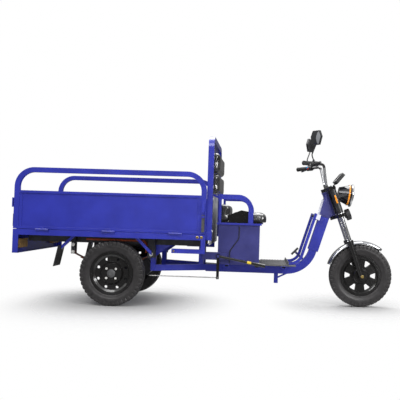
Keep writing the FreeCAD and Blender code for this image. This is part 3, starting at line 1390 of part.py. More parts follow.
def make_tailgate():
    """Tailgate panel with its hinge knuckles, and the studs and hooks of its latches."""
    gate = gate_panel(tail_span(), BED_HALF)
    for x in hinge_places(tail_span()):
        gate = gate.fuse(hinge_moving(x, BED_HALF))
    for x in tail_latch_places():
        pad = block((x - LATCH_INSET, x + LATCH_INSET), (BED_HALF - GATE_SET_BACK, BED_HALF),
                    (GATE_BOTTOM_Z + GATE_EDGE, GATE_TOP_Z - GATE_EDGE))
        gate = gate.fuse(pad).fuse(latch_stud(x, BED_HALF)).fuse(latch_hook(x, BED_HALF))
    return [to_tail(gate)]


def make_tail_latch(place):
    return [to_tail(latch_lever(tail_latch_places()[place], BED_HALF))]


def make_gate_hinges():
    """Fixed halves of the hinges of both drop sides and the tailgate."""
    solids = both_sides([hinge_fixed(x, BED_HALF) for x in hinge_places(side_span())])
    return solids + [to_tail(hinge_fixed(x, BED_HALF)) for x in hinge_places(tail_span())]


# Headboard, seat box and seat


def make_headboard_frame():
    """Bent tube that makes the two posts and the top, with two bars behind the pads."""
    half = HEAD_POST / 2
    top = HEADBOARD_TOP_Z - half
    route = [(-HEAD_POST_Y, SILL_BOTTOM_Z), (-HEAD_POST_Y, top), (HEAD_POST_Y, top),
             (HEAD_POST_Y, SILL_BOTTOM_Z)]
    hoop = bent_bar(route, HEAD_BEND, HEAD_POST, (-HEAD_POST, 0))
    hoop.rotate(point(0, 0, 0), point(0, 0, 1), 90)
    hoop.translate(point(BED_FRONT, 0, 0))
    inner = HEAD_POST_Y - half
    bars = []
    for z in (UPPER_PAD_Z, LOWER_PAD_Z):
        bars.append(block((BED_FRONT, BED_FRONT + BACK_BAR_THICKNESS), (-inner, inner),
                          (z - BACK_BAR_HEIGHT / 2, z + BACK_BAR_HEIGHT / 2)))
    return [hoop] + bars


def make_headboard_panels():
    """Sheet across the top of the hoop and the front wall of the bed below the pads."""
    inner = HEAD_POST_Y - HEAD_POST / 2
    x = (BED_FRONT + HEAD_POST / 2, BED_FRONT + HEAD_POST / 2 + PANEL_SHEET)
    top = HEADBOARD_TOP_Z - HEAD_POST
    reach = inner - HEAD_BEND
    upper = block(x, (-reach, reach), (top - TOP_PANEL_HEIGHT, top))
    lower = block(x, (-inner, inner), (SILL_TOP_Z - FRONT_WALL_SKIRT, SILL_TOP_Z + FRONT_WALL_HEIGHT))
    return [upper, lower]


def back_pad(z):
    pad = crowned_pad(BACK_PAD_HEIGHT, BACK_PAD_WIDTH, BACK_PAD_THICKNESS, BACK_PAD_ROUND)
    pad.rotate(point(0, 0, 0), point(0, 1, 0), 90)
    pad.translate(point(PAD_BACK_X, 0, z))
    return [pad]


def make_seat_box():
    """Open box on the frame with a lip round its top."""
    half = SEAT_BOX_WIDTH / 2
    x = (SEAT_BOX_REAR, SEAT_BOX_FRONT)
    sheet = SEAT_BOX_SHEET
    shell = block(x, (-half, half), (FLOOR_LINE_Z, SEAT_BOX_TOP_Z))
    inner_x = (x[0] + sheet, x[1] - sheet)
    inner_y = (sheet - half, half - sheet)
    lip = block((x[0] - SEAT_LIP, x[1] + SEAT_LIP), (-half - SEAT_LIP, half + SEAT_LIP),
                (SEAT_BOX_TOP_Z, SEAT_TOP_Z))
    shell = shell.fuse(lip)
    return [shell.cut(block(inner_x, inner_y, (FLOOR_LINE_Z + sheet, SEAT_TOP_Z)))]


def make_seat_hinges():
    """Fixed knuckles and pins of the seat's hinges on the front of the lip."""
    solids = []
    for y in (-SEAT_HINGE_Y, SEAT_HINGE_Y):
        half = SEAT_HINGE_LENGTH / 2
        third = SEAT_HINGE_LENGTH / 6
        pin = rod(point(SEAT_HINGE_X, y - half, SEAT_HINGE_Z),
                  point(SEAT_HINGE_X, y + half, SEAT_HINGE_Z), SEAT_PIN_RADIUS)
        for start, end in ((y - half, y - third), (y + third, y + half)):
            pin = pin.fuse(rod(point(SEAT_HINGE_X, start, SEAT_HINGE_Z),
                               point(SEAT_HINGE_X, end, SEAT_HINGE_Z),
                               SEAT_HINGE_RADIUS))
            pin = pin.fuse(block((SEAT_BOX_FRONT + SEAT_LIP, SEAT_HINGE_X), (start, end),
                                 (SEAT_HINGE_Z - SEAT_HINGE_RADIUS, SEAT_HINGE_Z)))
        solids.append(pin)
    return solids


def make_batteries():
    """Battery blocks on the floor of the seat box."""
    solids = []
    for place in range(BATTERY_COUNT):
        x, y = bay_place(place)
        low = FLOOR_LINE_Z + SEAT_BOX_SHEET
        case = block((x, x + BATTERY_WIDTH), (y, y + BATTERY_LENGTH), (low, low + BATTERY_HEIGHT))
        for share in (1 / 4, 3 / 4):
            foot = point(x + BATTERY_WIDTH / 2, y + BATTERY_LENGTH * share, low + BATTERY_HEIGHT)
            case = case.fuse(rod(foot, foot.add(point(0, 0, TERMINAL_HEIGHT)), TERMINAL_RADIUS))
        solids.append(case)
    return solids


def bay_place(place):
    """Low corner of one of the places in the seat box, in columns along x and rows along y."""
    column, row = divmod(place, BATTERY_ROWS)
    x = SEAT_BOX_REAR + SEAT_BOX_SHEET + BATTERY_GAP + column * (BATTERY_WIDTH + BATTERY_GAP)
    y = SEAT_BOX_SHEET + BATTERY_GAP + row * (BATTERY_LENGTH + BATTERY_GAP) - SEAT_BOX_WIDTH / 2
    return x, y


def make_controller():
    """Motor controller with a finned top, in the last place."""
    x, y = bay_place(BATTERY_COUNT)
    low = FLOOR_LINE_Z + SEAT_BOX_SHEET
    case = block((x, x + BATTERY_WIDTH), (y, y + BATTERY_LENGTH), (low, low + CONTROLLER_HEIGHT))
    pitch = BATTERY_LENGTH / CONTROLLER_FIN_COUNT
    for count in range(CONTROLLER_FIN_COUNT):
        start = y + pitch * count
        case = case.fuse(block((x, x + BATTERY_WIDTH), (start, start + CONTROLLER_FIN),
                               (low + CONTROLLER_HEIGHT, low + CONTROLLER_HEIGHT + CONTROLLER_FIN)))
    return [case]


def make_armrests():
    """Bent flat tubes beside the seat, each with a thin rear post."""
    out = SEAT_BOX_WIDTH / 2 + SEAT_LIP
    y = (out - ARM_WIDTH, out)
    top = SEAT_TOP_Z + ARM_RISE - ARM_DEPTH / 2
    rear = SEAT_BOX_REAR
    front = SEAT_BOX_FRONT - ARM_FRONT_INSET
    arm = bent_bar([(rear, top), (front, top), (front, SEAT_TOP_Z)], ARM_BEND, ARM_DEPTH, y)
    post = block((rear, rear + ARM_REAR_POST), y, (SEAT_TOP_Z, top - ARM_DEPTH / 2))
    return both_sides([arm, post])


def make_seat_pan():
    """Plate under the seat with moulded cheeks and the moving knuckles of its hinges."""
    half = SEAT_WIDTH / 2
    inner = half + SEAT_GAP
    outer = inner + CHEEK_SHEET
    pan = block((SEAT_BOX_REAR, SEAT_BOX_FRONT + SEAT_LIP), (-outer, outer),
                (SEAT_TOP_Z, SEAT_TOP_Z + SEAT_PAN_SHEET))
    rear = SEAT_BOX_REAR + CHEEK_BEHIND
    outline = [(rear + CHEEK_LENGTH * x, SEAT_TOP_Z + CHEEK_HEIGHT * z) for x, z in CHEEK_SHARES]
    for cheek in both_sides([plate(outline, (inner, outer))]):
        pan = pan.fuse(cheek)
    third = SEAT_HINGE_LENGTH / 6 - FACE_GAP
    for y in (-SEAT_HINGE_Y, SEAT_HINGE_Y):
        start = point(SEAT_HINGE_X, y - third, SEAT_HINGE_Z)
        end = point(SEAT_HINGE_X, y + third, SEAT_HINGE_Z)
        room = SEAT_HINGE_LENGTH / 2 + FACE_GAP
        pan = pan.cut(block((SEAT_HINGE_X - SEAT_HINGE_RADIUS - FACE_GAP, SEAT_HINGE_X),
                            (y - room, y + room),
                            (SEAT_TOP_Z, SEAT_TOP_Z + SEAT_PAN_SHEET)))
        pan = pan.fuse(rod(start, end, SEAT_HINGE_RADIUS))
        pan = pan.fuse(block((SEAT_HINGE_X - SEAT_HINGE_RADIUS - OVERRUN, SEAT_HINGE_X),
                             (y - third, y + third),
                             (SEAT_HINGE_Z + SEAT_PIN_RADIUS, SEAT_TOP_Z + SEAT_PAN_SHEET)))
        pan = pan.cut(rod(start.sub(point(0, room, 0)), end.add(point(0, room, 0)),
                          SEAT_PIN_RADIUS + RUN_FIT))
    return [pan]


def make_seat_cushion():
    cushion = crowned_pad(SEAT_CUSHION_LENGTH, SEAT_WIDTH, SEAT_CUSHION_HEIGHT, SEAT_CUSHION_ROUND)
    front = SEAT_BOX_FRONT + SEAT_LIP + SEAT_NOSE
    cushion.translate(point(front - SEAT_CUSHION_LENGTH / 2, 0, SEAT_TOP_Z + SEAT_PAN_SHEET))
    return [cushion]


def make_seat_low_back():
    """Low pad at the rear of the seat."""
    pad = crowned_pad(LOW_BACK_HEIGHT, SEAT_WIDTH, LOW_BACK_THICKNESS, LOW_BACK_ROUND)
    pad.rotate(point(0, 0, 0), point(0, 1, 0), 90)
    pad.translate(point(SEAT_BOX_REAR, 0, SEAT_TOP_Z + SEAT_PAN_SHEET + SEAT_GAP + LOW_BACK_HEIGHT / 2))
    return [pad]


def make_footboard():
    """Floor plate for the feet."""
    half = FOOTBOARD_WIDTH / 2
    z = (FLOOR_LINE_Z, FLOOR_LINE_Z + FOOTBOARD_SHEET)
    return [block((SEAT_BOX_FRONT, FOOTBOARD_FRONT), (-half, half), z)]


def make_foot_mat():
    """Ribbed rubber mat on the footboard with a turned-up front."""
    half = FOOTBOARD_WIDTH / 2 - MAT_BORDER
    x = (SEAT_BOX_FRONT + MAT_BORDER, FOOTBOARD_FRONT - GUARD_PIPE_BACK - MAT_BORDER)
    low = FLOOR_LINE_Z + FOOTBOARD_SHEET
    mat = block(x, (-half, half), (low, low + MAT_SHEET))
    lip = [(x[1] - MAT_SHEET, low), (x[1], low), (x[1] + MAT_LIP_LEAN, low + MAT_LIP_HEIGHT),
           (x[1] + MAT_LIP_LEAN - MAT_SHEET, low + MAT_LIP_HEIGHT)]
    mat = mat.fuse(plate(lip, (-half, half)))
    pitch = (x[1] - x[0]) / MAT_RIB_COUNT
    for count in range(MAT_RIB_COUNT):
        start = x[0] + pitch * (count + 1 / 2) - MAT_RIB_WIDTH / 2
        mat = mat.fuse(block((start, start + MAT_RIB_WIDTH), (-half, half),
                             (low + MAT_SHEET, low + MAT_SHEET + MAT_RIB_HEIGHT)))
    return [mat]


# Brakes worked by hand lever and pedal


def make_park_quadrant():
    """Plate beside the seat box that carries the parking lever's pin."""
    outer = PARK_Y - PARK_ARM_WIDTH / 2 - FACE_GAP
    inner = SEAT_BOX_WIDTH / 2
    x = (PARK_PIVOT_X - QUADRANT_BEHIND, PARK_PIVOT_X - PARK_HUB_RADIUS + QUADRANT_LENGTH)
    z = (PARK_PIVOT_Z - QUADRANT_HEIGHT / 2, PARK_PIVOT_Z + QUADRANT_HEIGHT / 2)
    base = block((SEAT_BOX_REAR, x[1]), (inner, outer), z)
    sheet = block(x, (outer - QUADRANT_SHEET, outer), z)
    pin = rod(point(PARK_PIVOT_X, outer, PARK_PIVOT_Z),
              point(PARK_PIVOT_X, PARK_Y + PARK_ARM_WIDTH / 2 + FACE_GAP, PARK_PIVOT_Z), PARK_PIN_RADIUS)
    head_start = point(PARK_PIVOT_X, PARK_Y + PARK_ARM_WIDTH / 2 + FACE_GAP, PARK_PIVOT_Z)
    head = rod(head_start, head_start.add(point(0, BOLT_HEAD, 0)), PARK_PIN_RADIUS + BOLT_HEAD)
    return mirrored([base.fuse(sheet).fuse(pin).fuse(head)])


def make_park_lever():
    """Lever on the right of the seat box: hub, arm down to the rod, and hand tube."""
    y = (PARK_Y - PARK_ARM_WIDTH / 2, PARK_Y + PARK_ARM_WIDTH / 2)
    centre = point(PARK_PIVOT_X, y[0], PARK_PIVOT_Z)
    hub = rod(centre, point(PARK_PIVOT_X, y[1], PARK_PIVOT_Z), PARK_HUB_RADIUS)
    half = PARK_ARM_DEPTH / 2
    arm = block((PARK_PIVOT_X - half, PARK_PIVOT_X + half), y, (PARK_EYE_Z - half, PARK_PIVOT_Z))
    middle = y[0] + PARK_TUBE_RADIUS
    tip = point(PARK_PIVOT_X + PARK_REACH, middle, PARK_PIVOT_Z - PARK_FALL)
    root = point(PARK_PIVOT_X, middle, PARK_PIVOT_Z)
    along = tip.sub(root).normalize()
    tube = rod(root.add(along * (PARK_HUB_RADIUS - OVERRUN)), tip, PARK_TUBE_RADIUS)
    lever = hub.fuse(arm).fuse(tube)
    lever = lever.cut(rod(point(PARK_PIVOT_X, y[0] - OVERRUN, PARK_PIVOT_Z),
                          point(PARK_PIVOT_X, y[1] + OVERRUN, PARK_PIVOT_Z), PARK_PIN_RADIUS + RUN_FIT))
    lever = lever.cut(rod(point(PARK_PIVOT_X, y[0] - OVERRUN, PARK_EYE_Z),
                          point(PARK_PIVOT_X, y[1] + OVERRUN, PARK_EYE_Z), PARK_EYE_PIN_RADIUS + RUN_FIT))
    grip_start = tip.sub(along * PARK_GRIP_LENGTH)
    grip = ring(grip_start, tip, PARK_GRIP_RADIUS, PARK_TUBE_RADIUS)
    cap = rod(tip, tip.add(along * BOLT_HEAD), PARK_GRIP_RADIUS)
    return mirrored([lever, grip, cap])


def make_park_rod():
    """Brake rod with an eye and pin at the lever's arm."""
    inner = PARK_Y - PARK_ARM_WIDTH / 2 - SEAT_GAP
    y = (inner - PARK_ARM_WIDTH, inner)
    eye = rod(point(PARK_PIVOT_X, y[0], PARK_EYE_Z), point(PARK_PIVOT_X, y[1], PARK_EYE_Z),
              PARK_EYE_RADIUS)
    pin = rod(point(PARK_PIVOT_X, y[0], PARK_EYE_Z),
              point(PARK_PIVOT_X, PARK_Y + PARK_ARM_WIDTH / 2, PARK_EYE_Z),
              PARK_EYE_PIN_RADIUS)
    middle = (y[0] + y[1]) / 2
    bar = rod(point(PARK_ROD_REAR, middle, PARK_EYE_Z), point(PARK_PIVOT_X, middle, PARK_EYE_Z),
              PARK_ROD_RADIUS)
    return mirrored([eye.fuse(pin).fuse(bar)])


def make_pedal_bracket():
    """Cheeks on the footboard that carry the pedal's pin."""
    gap = PEDAL_ARM_WIDTH / 2 + FACE_GAP
    solids = []
    for y in (-PEDAL_Y - gap - FOOTBOARD_SHEET, -PEDAL_Y + gap):
        outline = [(FOOTBOARD_FRONT - PEDAL_HUB_RADIUS, FLOOR_LINE_Z + FOOTBOARD_SHEET),
                   (FOOTBOARD_FRONT, FLOOR_LINE_Z + FOOTBOARD_SHEET),
                   (PEDAL_PIVOT_X + PEDAL_HUB_RADIUS, PEDAL_PIVOT_Z),
                   (PEDAL_PIVOT_X, PEDAL_PIVOT_Z + PEDAL_HUB_RADIUS),
                   (PEDAL_PIVOT_X - PEDAL_HUB_RADIUS, PEDAL_PIVOT_Z)]
        solids.append(plate(outline, (y, y + FOOTBOARD_SHEET)))
    pin = rod(point(PEDAL_PIVOT_X, -PEDAL_Y - gap, PEDAL_PIVOT_Z),
              point(PEDAL_PIVOT_X, -PEDAL_Y + gap, PEDAL_PIVOT_Z),
              PEDAL_PIN_RADIUS)
    return [solids[0].fuse(pin).fuse(solids[1])]


def make_brake_pedal():
    """Pedal arm leaning back from its pin, with a square pad."""
    half = PEDAL_ARM_WIDTH / 2
    y = (-PEDAL_Y - half, -PEDAL_Y + half)
    pivot = point(PEDAL_PIVOT_X, -PEDAL_Y, PEDAL_PIVOT_Z)
    hub = rod(point(PEDAL_PIVOT_X, y[0], PEDAL_PIVOT_Z), point(PEDAL_PIVOT_X, y[1], PEDAL_PIVOT_Z),
              PEDAL_HUB_RADIUS)
    depth = PEDAL_ARM_DEPTH / 2
    arm = block((PEDAL_PIVOT_X - depth, PEDAL_PIVOT_X + depth), y,
                (PEDAL_PIVOT_Z, PEDAL_PIVOT_Z + PEDAL_ARM))
    top = PEDAL_PIVOT_Z + PEDAL_ARM
    wide = PEDAL_PAD_WIDTH / 2
    pad = block((PEDAL_PIVOT_X - PEDAL_PAD_LENGTH / 2, PEDAL_PIVOT_X + PEDAL_PAD_LENGTH / 2),
                (-PEDAL_Y - wide, -PEDAL_Y + wide), (top, top + PEDAL_PAD_THICKNESS))
    bore = rod(point(PEDAL_PIVOT_X, y[0] - OVERRUN, PEDAL_PIVOT_Z),
               point(PEDAL_PIVOT_X, y[1] + OVERRUN, PEDAL_PIVOT_Z),
               PEDAL_PIN_RADIUS + RUN_FIT)
    arm = hub.fuse(arm).cut(bore)
    return [turned(solid, pivot, point(0, 1, 0), -PEDAL_LEAN) for solid in (arm, pad)]


# Fork and front wheel


def crown_plate(w):
    """Fork crown across both legs, in the fork's axes, with holes for the legs and the stem."""
    reach = LEG_Y + STANCHION_RADIUS + CROWN_MARGIN
    z = (w, w + CROWN_THICKNESS)
    bar = block((-CROWN_DEPTH / 2, CROWN_DEPTH / 2), (-reach, reach), z)
    back = STEM_RADIUS + CROWN_MARGIN
    front = -CROWN_DEPTH / 2
    outline = [(front, -LEG_Y), (front, LEG_Y), (-FORK_OFFSET, back), (-FORK_OFFSET, -back)]
    corners = [point(x, y, w) for x, y in outline]
    bridge = Part.Face(Part.makePolygon(corners + corners[:1])).extrude(point(0, 0, CROWN_THICKNESS))
    heel = rod(point(-FORK_OFFSET, 0, w), point(-FORK_OFFSET, 0, w + CROWN_THICKNESS), back)
    crown = bar.fuse(bridge).fuse(heel)
    for x, y, radius in ((0, LEG_Y, STANCHION_RADIUS), (0, -LEG_Y, STANCHION_RADIUS),
                         (-FORK_OFFSET, 0, STEM_RADIUS)):
        crown = crown.cut(rod(point(x, y, w), point(x, y, w + CROWN_THICKNESS), radius))
    return crown


def make_fork_crowns():
    return [raked(crown_plate(w)) for w in (LOWER_CROWN_W, UPPER_CROWN_W)]


def make_steering_stem():
    top = UPPER_CROWN_W + CROWN_THICKNESS
    return [raked(rod(point(-FORK_OFFSET, 0, LOWER_CROWN_W), point(-FORK_OFFSET, 0, top), STEM_RADIUS))]


def make_stanchions():
    top = UPPER_CROWN_W + CROWN_THICKNESS
    return [raked(rod(point(0, y, STANCHION_FOOT), point(0, y, top), STANCHION_RADIUS)) for y in (-LEG_Y,
                                                                                                  LEG_Y)]


def make_fork_covers():
    """Sleeves on the legs under the upper crown, with arms that hold the lamp."""
    low = FORK_COVER_LOW
    pivot = lamp_pivot()
    half = LAMP_ARM_WIDTH / 2
    covers = []
    for y in (-LEG_Y, LEG_Y):
        cover = rod(point(0, y, low), point(0, y, UPPER_CROWN_W), FORK_COVER_RADIUS)
        arm = block((0, LAMP_ARM_REACH), (y - LAMP_ARM_SHEET / 2, y + LAMP_ARM_SHEET / 2),
                    (pivot.z - half, pivot.z + half))
        cover = cover.fuse(arm).cut(rod(point(0, y, low), point(0, y, UPPER_CROWN_W), STANCHION_RADIUS))
        covers.append(raked(cover))
    return covers


def make_side_reflectors():
    """Strips on the outer sides of the fork covers."""
    low = UPPER_CROWN_W - REFLECTOR_DROP - REFLECTOR_LENGTH / 2
    half = REFLECTOR_WIDTH / 2
    outer = LEG_Y + FORK_COVER_RADIUS
    strip = block((-half, half), (outer - REFLECTOR_SHEET, outer + REFLECTOR_SHEET),
                  (low, low + REFLECTOR_LENGTH))
    strip = strip.cut(rod(point(0, LEG_Y, low), point(0, LEG_Y, low + REFLECTOR_LENGTH),
                          FORK_COVER_RADIUS))
    return [raked(solid) for solid in both_sides([strip])]


def make_fork_sliders():
    """Lower legs that slide on the stanchions, with the front axle's lugs."""
    sliders = []
    for y in (-LEG_Y, LEG_Y):
        leg = rod(point(0, y, 0), point(0, y, SLIDER_TOP), SLIDER_RADIUS)
        leg = leg.fuse(rod(point(0, y, SLIDER_TOP - SLIDER_COLLAR), point(0, y, SLIDER_TOP),
                           SLIDER_COLLAR_RADIUS))
        lug = block((-SLIDER_LUG_DEPTH / 2, SLIDER_LUG_DEPTH / 2),
                    (y - SLIDER_LUG_WIDTH / 2, y + SLIDER_LUG_WIDTH / 2), (-SLIDER_LUG, SLIDER_LUG))
        leg = leg.fuse(lug)
        leg = leg.cut(rod(point(0, y, SLIDER_BORE_FOOT), point(0, y, SLIDER_TOP),
                          STANCHION_RADIUS + RUN_FIT))
        leg = leg.cut(rod(point(0, y - SLIDER_LUG_DEPTH, 0), point(0, y + SLIDER_LUG_DEPTH, 0),
                          FRONT_AXLE_RADIUS))
        sliders.append(raked(leg))
    return sliders


def make_front_axle():
    """Axle through both lugs with a nut at each end, and spacers to the hub."""
    outer = LEG_Y + SLIDER_RADIUS
    inner = LEG_Y - SLIDER_RADIUS
    axle = rod(point(0, -outer - FRONT_NUT_HEIGHT, 0), point(0, outer + FRONT_NUT_HEIGHT, 0),
               FRONT_AXLE_RADIUS)
    for side in (-1, 1):
        axle = axle.fuse(rod(point(0, side * outer, 0), point(0, side * (outer + FRONT_NUT_HEIGHT / 2), 0),
                             FRONT_NUT_RADIUS))
        axle = axle.fuse(rod(point(0, side * (FRONT_HUB_WIDTH / 2 + FACE_GAP), 0),
                             point(0, side * inner, 0),
                             FRONT_NUT_RADIUS))
    return [raked(axle)]


def make_front_fender():
    """Curved sheet over the front tyre with turned-down edges and a brace to each slider."""
    inner = FRONT_TYRE_OD / 2 + FENDER_GAP
    half = FENDER_WIDTH / 2
    centre = (WHEELBASE, FRONT_AXLE_Z)
    angles = (FENDER_FRONT_ANGLE, FENDER_REAR_ANGLE)
    sheet = arc_strip(centre, inner, FENDER_SHEET, angles, (-half, half))
    for y in (-half, half - FENDER_SHEET):
        sheet = sheet.fuse(arc_strip(centre, inner - FENDER_DROP, FENDER_DROP, angles,
                                     (y, y + FENDER_SHEET)))
    return [sheet]


def make_fender_braces():
    """Straps from the sliders' collars to the fender's edges."""
    half = FENDER_WIDTH / 2
    low = SLIDER_TOP - SLIDER_COLLAR - FENDER_BRACE_DEPTH
    reach = LEG_Y - SLIDER_RADIUS + FENDER_BRACE_SHEET
    strap = block((-FENDER_BRACE_DEPTH / 2, FENDER_BRACE_DEPTH / 2), (half, reach),
                  (low, low + FENDER_BRACE_DEPTH))
    strap = strap.cut(rod(point(0, LEG_Y, low), point(0, LEG_Y, SLIDER_TOP), SLIDER_RADIUS))
    return [raked(solid) for solid in both_sides([strap])]


# Handlebar and its fittings


def bar_corners(side):
    """Corners of one half of the handlebar in the fork's axes, from the middle outwards."""
    clamp_w = UPPER_CROWN_W + CROWN_THICKNESS + BAR_CLAMP_RISE
    return [point(-BAR_CLAMP_BACK, 0, clamp_w),
            point(-BAR_CLAMP_BACK, side * BAR_CLAMP_HALF, clamp_w),
            point(-BAR_RISE_BACK, side * BAR_RISE_Y, clamp_w + BAR_RISE),
            point(-BAR_END_BACK, side * BAR_END_Y, clamp_w + BAR_END_RISE)]


def make_handlebar():
    left = bar_corners(1)
    right = bar_corners(-1)
    corners = right[:0:-1] + left[1:]
    return [raked(round_pipe(corners, [BAR_BEND] * (len(corners) - 2), BAR_RADIUS))]


def make_bar_mounts():
    """Two risers on the upper crown that clamp the handlebar."""
    top = UPPER_CROWN_W + CROWN_THICKNESS
    clamp_w = top + BAR_CLAMP_RISE
    solids = []
    inner = BAR_CLAMP_HALF - BAR_BEND
    half = BAR_MOUNT_WIDTH / 2
    for side in (-1, 1):
        y = side * (inner / 2 + half)
        span = (y - half, y + half)
        foot = block((-BAR_CLAMP_BACK - BAR_MOUNT_RADIUS, -BAR_CLAMP_BACK + BAR_MOUNT_RADIUS), span,
                     (top, clamp_w))
        mount = foot.fuse(rod(point(-BAR_CLAMP_BACK, span[0], clamp_w),
                              point(-BAR_CLAMP_BACK, span[1], clamp_w),
                              BAR_MOUNT_RADIUS))
        mount = mount.cut(rod(point(-BAR_CLAMP_BACK, span[0], clamp_w),
                              point(-BAR_CLAMP_BACK, span[1], clamp_w),
                              BAR_RADIUS))
        solids.append(raked(mount))
    return solids


def bar_end(side):
    """End of the bar, and the unit direction from the end back along the straight grip length."""
    inner, end = bar_corners(side)[2:]
    return end, inner.sub(end).normalize()


def bar_piece(side, start, length, radius, bore):
    """Sleeve on the grip length of the bar, from a distance in from its end."""
    end, inward = bar_end(side)
    first = end.add(inward * start)
    return ring(first, first.add(inward * length), radius, bore)


def make_grip(side, fit):
    return [raked(bar_piece(side, 0, GRIP_LENGTH, GRIP_RADIUS, BAR_RADIUS + fit))]


def pod_centre(side):
    end, inward = bar_end(side)
    return end.add(inward * (GRIP_LENGTH + POD_GAP + POD_LENGTH / 2))


def button_line(side):
    """Middle of a button's well on the bar's axis, and the direction it is pressed from."""
    inward = bar_end(side)[1]
    back = point(-abs(inward.y), inward.x * math.copysign(1, inward.y), 0).normalize()
    return pod_centre(side), back


def make_pod(side):
    """Switch pod next to the grip, with the brake lever's perch in front and the mirror's socket on top."""
    body = bar_piece(side, GRIP_LENGTH + POD_GAP, POD_LENGTH, POD_RADIUS, 0)
    centre = pod_centre(side)
    pivot = lever_pivot(side)
    top = LEVER_THICKNESS / 2 + FACE_GAP
    low = point(0, 0, -top - LEVER_DEPTH)
    start = centre.add(low)
    end = pivot.add(low)
    end.z = start.z
    across = point(start.y - end.y, end.x - start.x, 0).normalize() * LEVER_HUB_RADIUS
    corners = [start.add(across), start.sub(across), end.sub(across), end.add(across)]
    arm = Part.Face(Part.makePolygon(corners + corners[:1])).extrude(point(0, 0, LEVER_DEPTH))
    perch = rod(end, end.add(point(0, 0, LEVER_DEPTH)), LEVER_HUB_RADIUS)
    pin = rod(end, pivot.add(point(0, 0, top)), LEVER_PIN_RADIUS)
    foot = mirror_foot(side)
    boss = rod(centre, foot, MIRROR_STEM_RADIUS + MIRROR_SOCKET_WALL)
    body = body.fuse(arm).fuse(perch).fuse(pin).fuse(boss)
    socket = rod(foot.sub(point(0, 0, MIRROR_SOCKET_DEPTH)), foot, MIRROR_STEM_RADIUS + RUN_FIT)
    body = body.cut(socket)
    if side > 0:
        middle, back = button_line(side)
        floor = middle.add(back * (BAR_RADIUS + BUTTON_FLOOR))
        body = body.cut(rod(floor, middle.add(back * (POD_RADIUS + OVERRUN)), BUTTON_RADIUS + RUN_FIT))
    bar_start, inward = bar_end(side)
    return [raked(body.cut(rod(bar_start, bar_start.add(inward * (GRIP_LENGTH + POD_LENGTH + POD_LENGTH)),
                               BAR_RADIUS)))]


def make_horn_button():
    """Button in the rear face of the left pod."""
    middle, back = button_line(1)
    start = middle.add(back * (BAR_RADIUS + BUTTON_FLOOR + BUTTON_TRAVEL + FACE_GAP))
    return [raked(rod(start, middle.add(back * (POD_RADIUS + BUTTON_PROUD)), BUTTON_RADIUS))]


def lever_pivot(side):
    """Pivot of a brake lever in the fork's axes, ahead of the pod."""
    middle, back = button_line(side)
    return middle.sub(back * (POD_RADIUS + LEVER_PIVOT_OUT - LEVER_HUB_RADIUS))


def mirror_foot(side):
    """Top of the mirror's socket in the fork's axes."""
    centre = pod_centre(side)
    return centre.add(point(0, 0, POD_RADIUS + MIRROR_SOCKET_DEPTH))


def make_brake_lever(side):
    """Lever that runs outwards in front of the grip."""
    pivot = lever_pivot(side)
    inward = bar_end(side)[1]
    outward = point(-inward.x, -inward.y, 0).normalize()
    across = point(-outward.y, outward.x, 0) * (LEVER_DEPTH / 2)
    low = point(0, 0, -LEVER_THICKNESS / 2)
    tip = pivot.add(outward * LEVER_LENGTH)
    corners = [corner.add(low) for corner in (pivot.add(across), pivot.sub(across), tip.sub(across),
                                              tip.add(across))]
    blade = Part.Face(Part.makePolygon(corners + corners[:1])).extrude(point(0, 0, LEVER_THICKNESS))
    hub = rod(pivot.add(low), pivot.sub(low), LEVER_HUB_RADIUS)
    ball = rod(tip.add(low), tip.sub(low), LEVER_HUB_RADIUS - FACE_GAP)
    lever = blade.fuse(hub).fuse(ball)
    bore = rod(pivot.add(low * 2), pivot.sub(low * 2), LEVER_PIN_RADIUS + RUN_FIT)
    return [raked(lever.cut(bore))]


def make_mirror(side):
    """Mirror on a bent stem that turns in the pod's socket."""
    foot = mirror_foot(side)
    low = foot.sub(point(0, 0, MIRROR_SOCKET_DEPTH - FACE_GAP))
    knee = point(foot.x, foot.y, foot.z + MIRROR_STEM_RISE / 3)
    top = point(foot.x + MIRROR_STEM_FORWARD, foot.y + side * MIRROR_STEM_OUT, foot.z + MIRROR_STEM_RISE)
    stem = raked(round_pipe([low, knee, top], [MIRROR_STEM_BEND], MIRROR_STEM_RADIUS))
    half = MIRROR_WIDTH / 2
    tall = MIRROR_HEIGHT / 2
    narrow = half * MIRROR_NARROW_SHARE
    waist = tall * MIRROR_WAIST_SHARE
    outline = [(-narrow, -tall), (narrow, -tall), (half, waist), (narrow, tall), (-narrow, tall),
               (-half, waist)]
    corners = [point(0, across, up) for across, up in outline]
    head = Part.Face(Part.makePolygon(corners + corners[:1])).extrude(point(MIRROR_THICKNESS, 0, 0))
    edges = [edge for edge in head.Edges if edge.BoundBox.XMin > MIRROR_THICKNESS / 2]
    head = head.makeChamfer(MIRROR_THICKNESS / 3, edges)
    head.rotate(point(0, 0, 0), point(0, 0, 1), side * -MIRROR_TURN)
    head.translate(fork_place(top.x, top.y, top.z).add(point(-MIRROR_THICKNESS / 2, 0, tall / 2)))
    return [stem.fuse(head)]


# Front lamps and horn


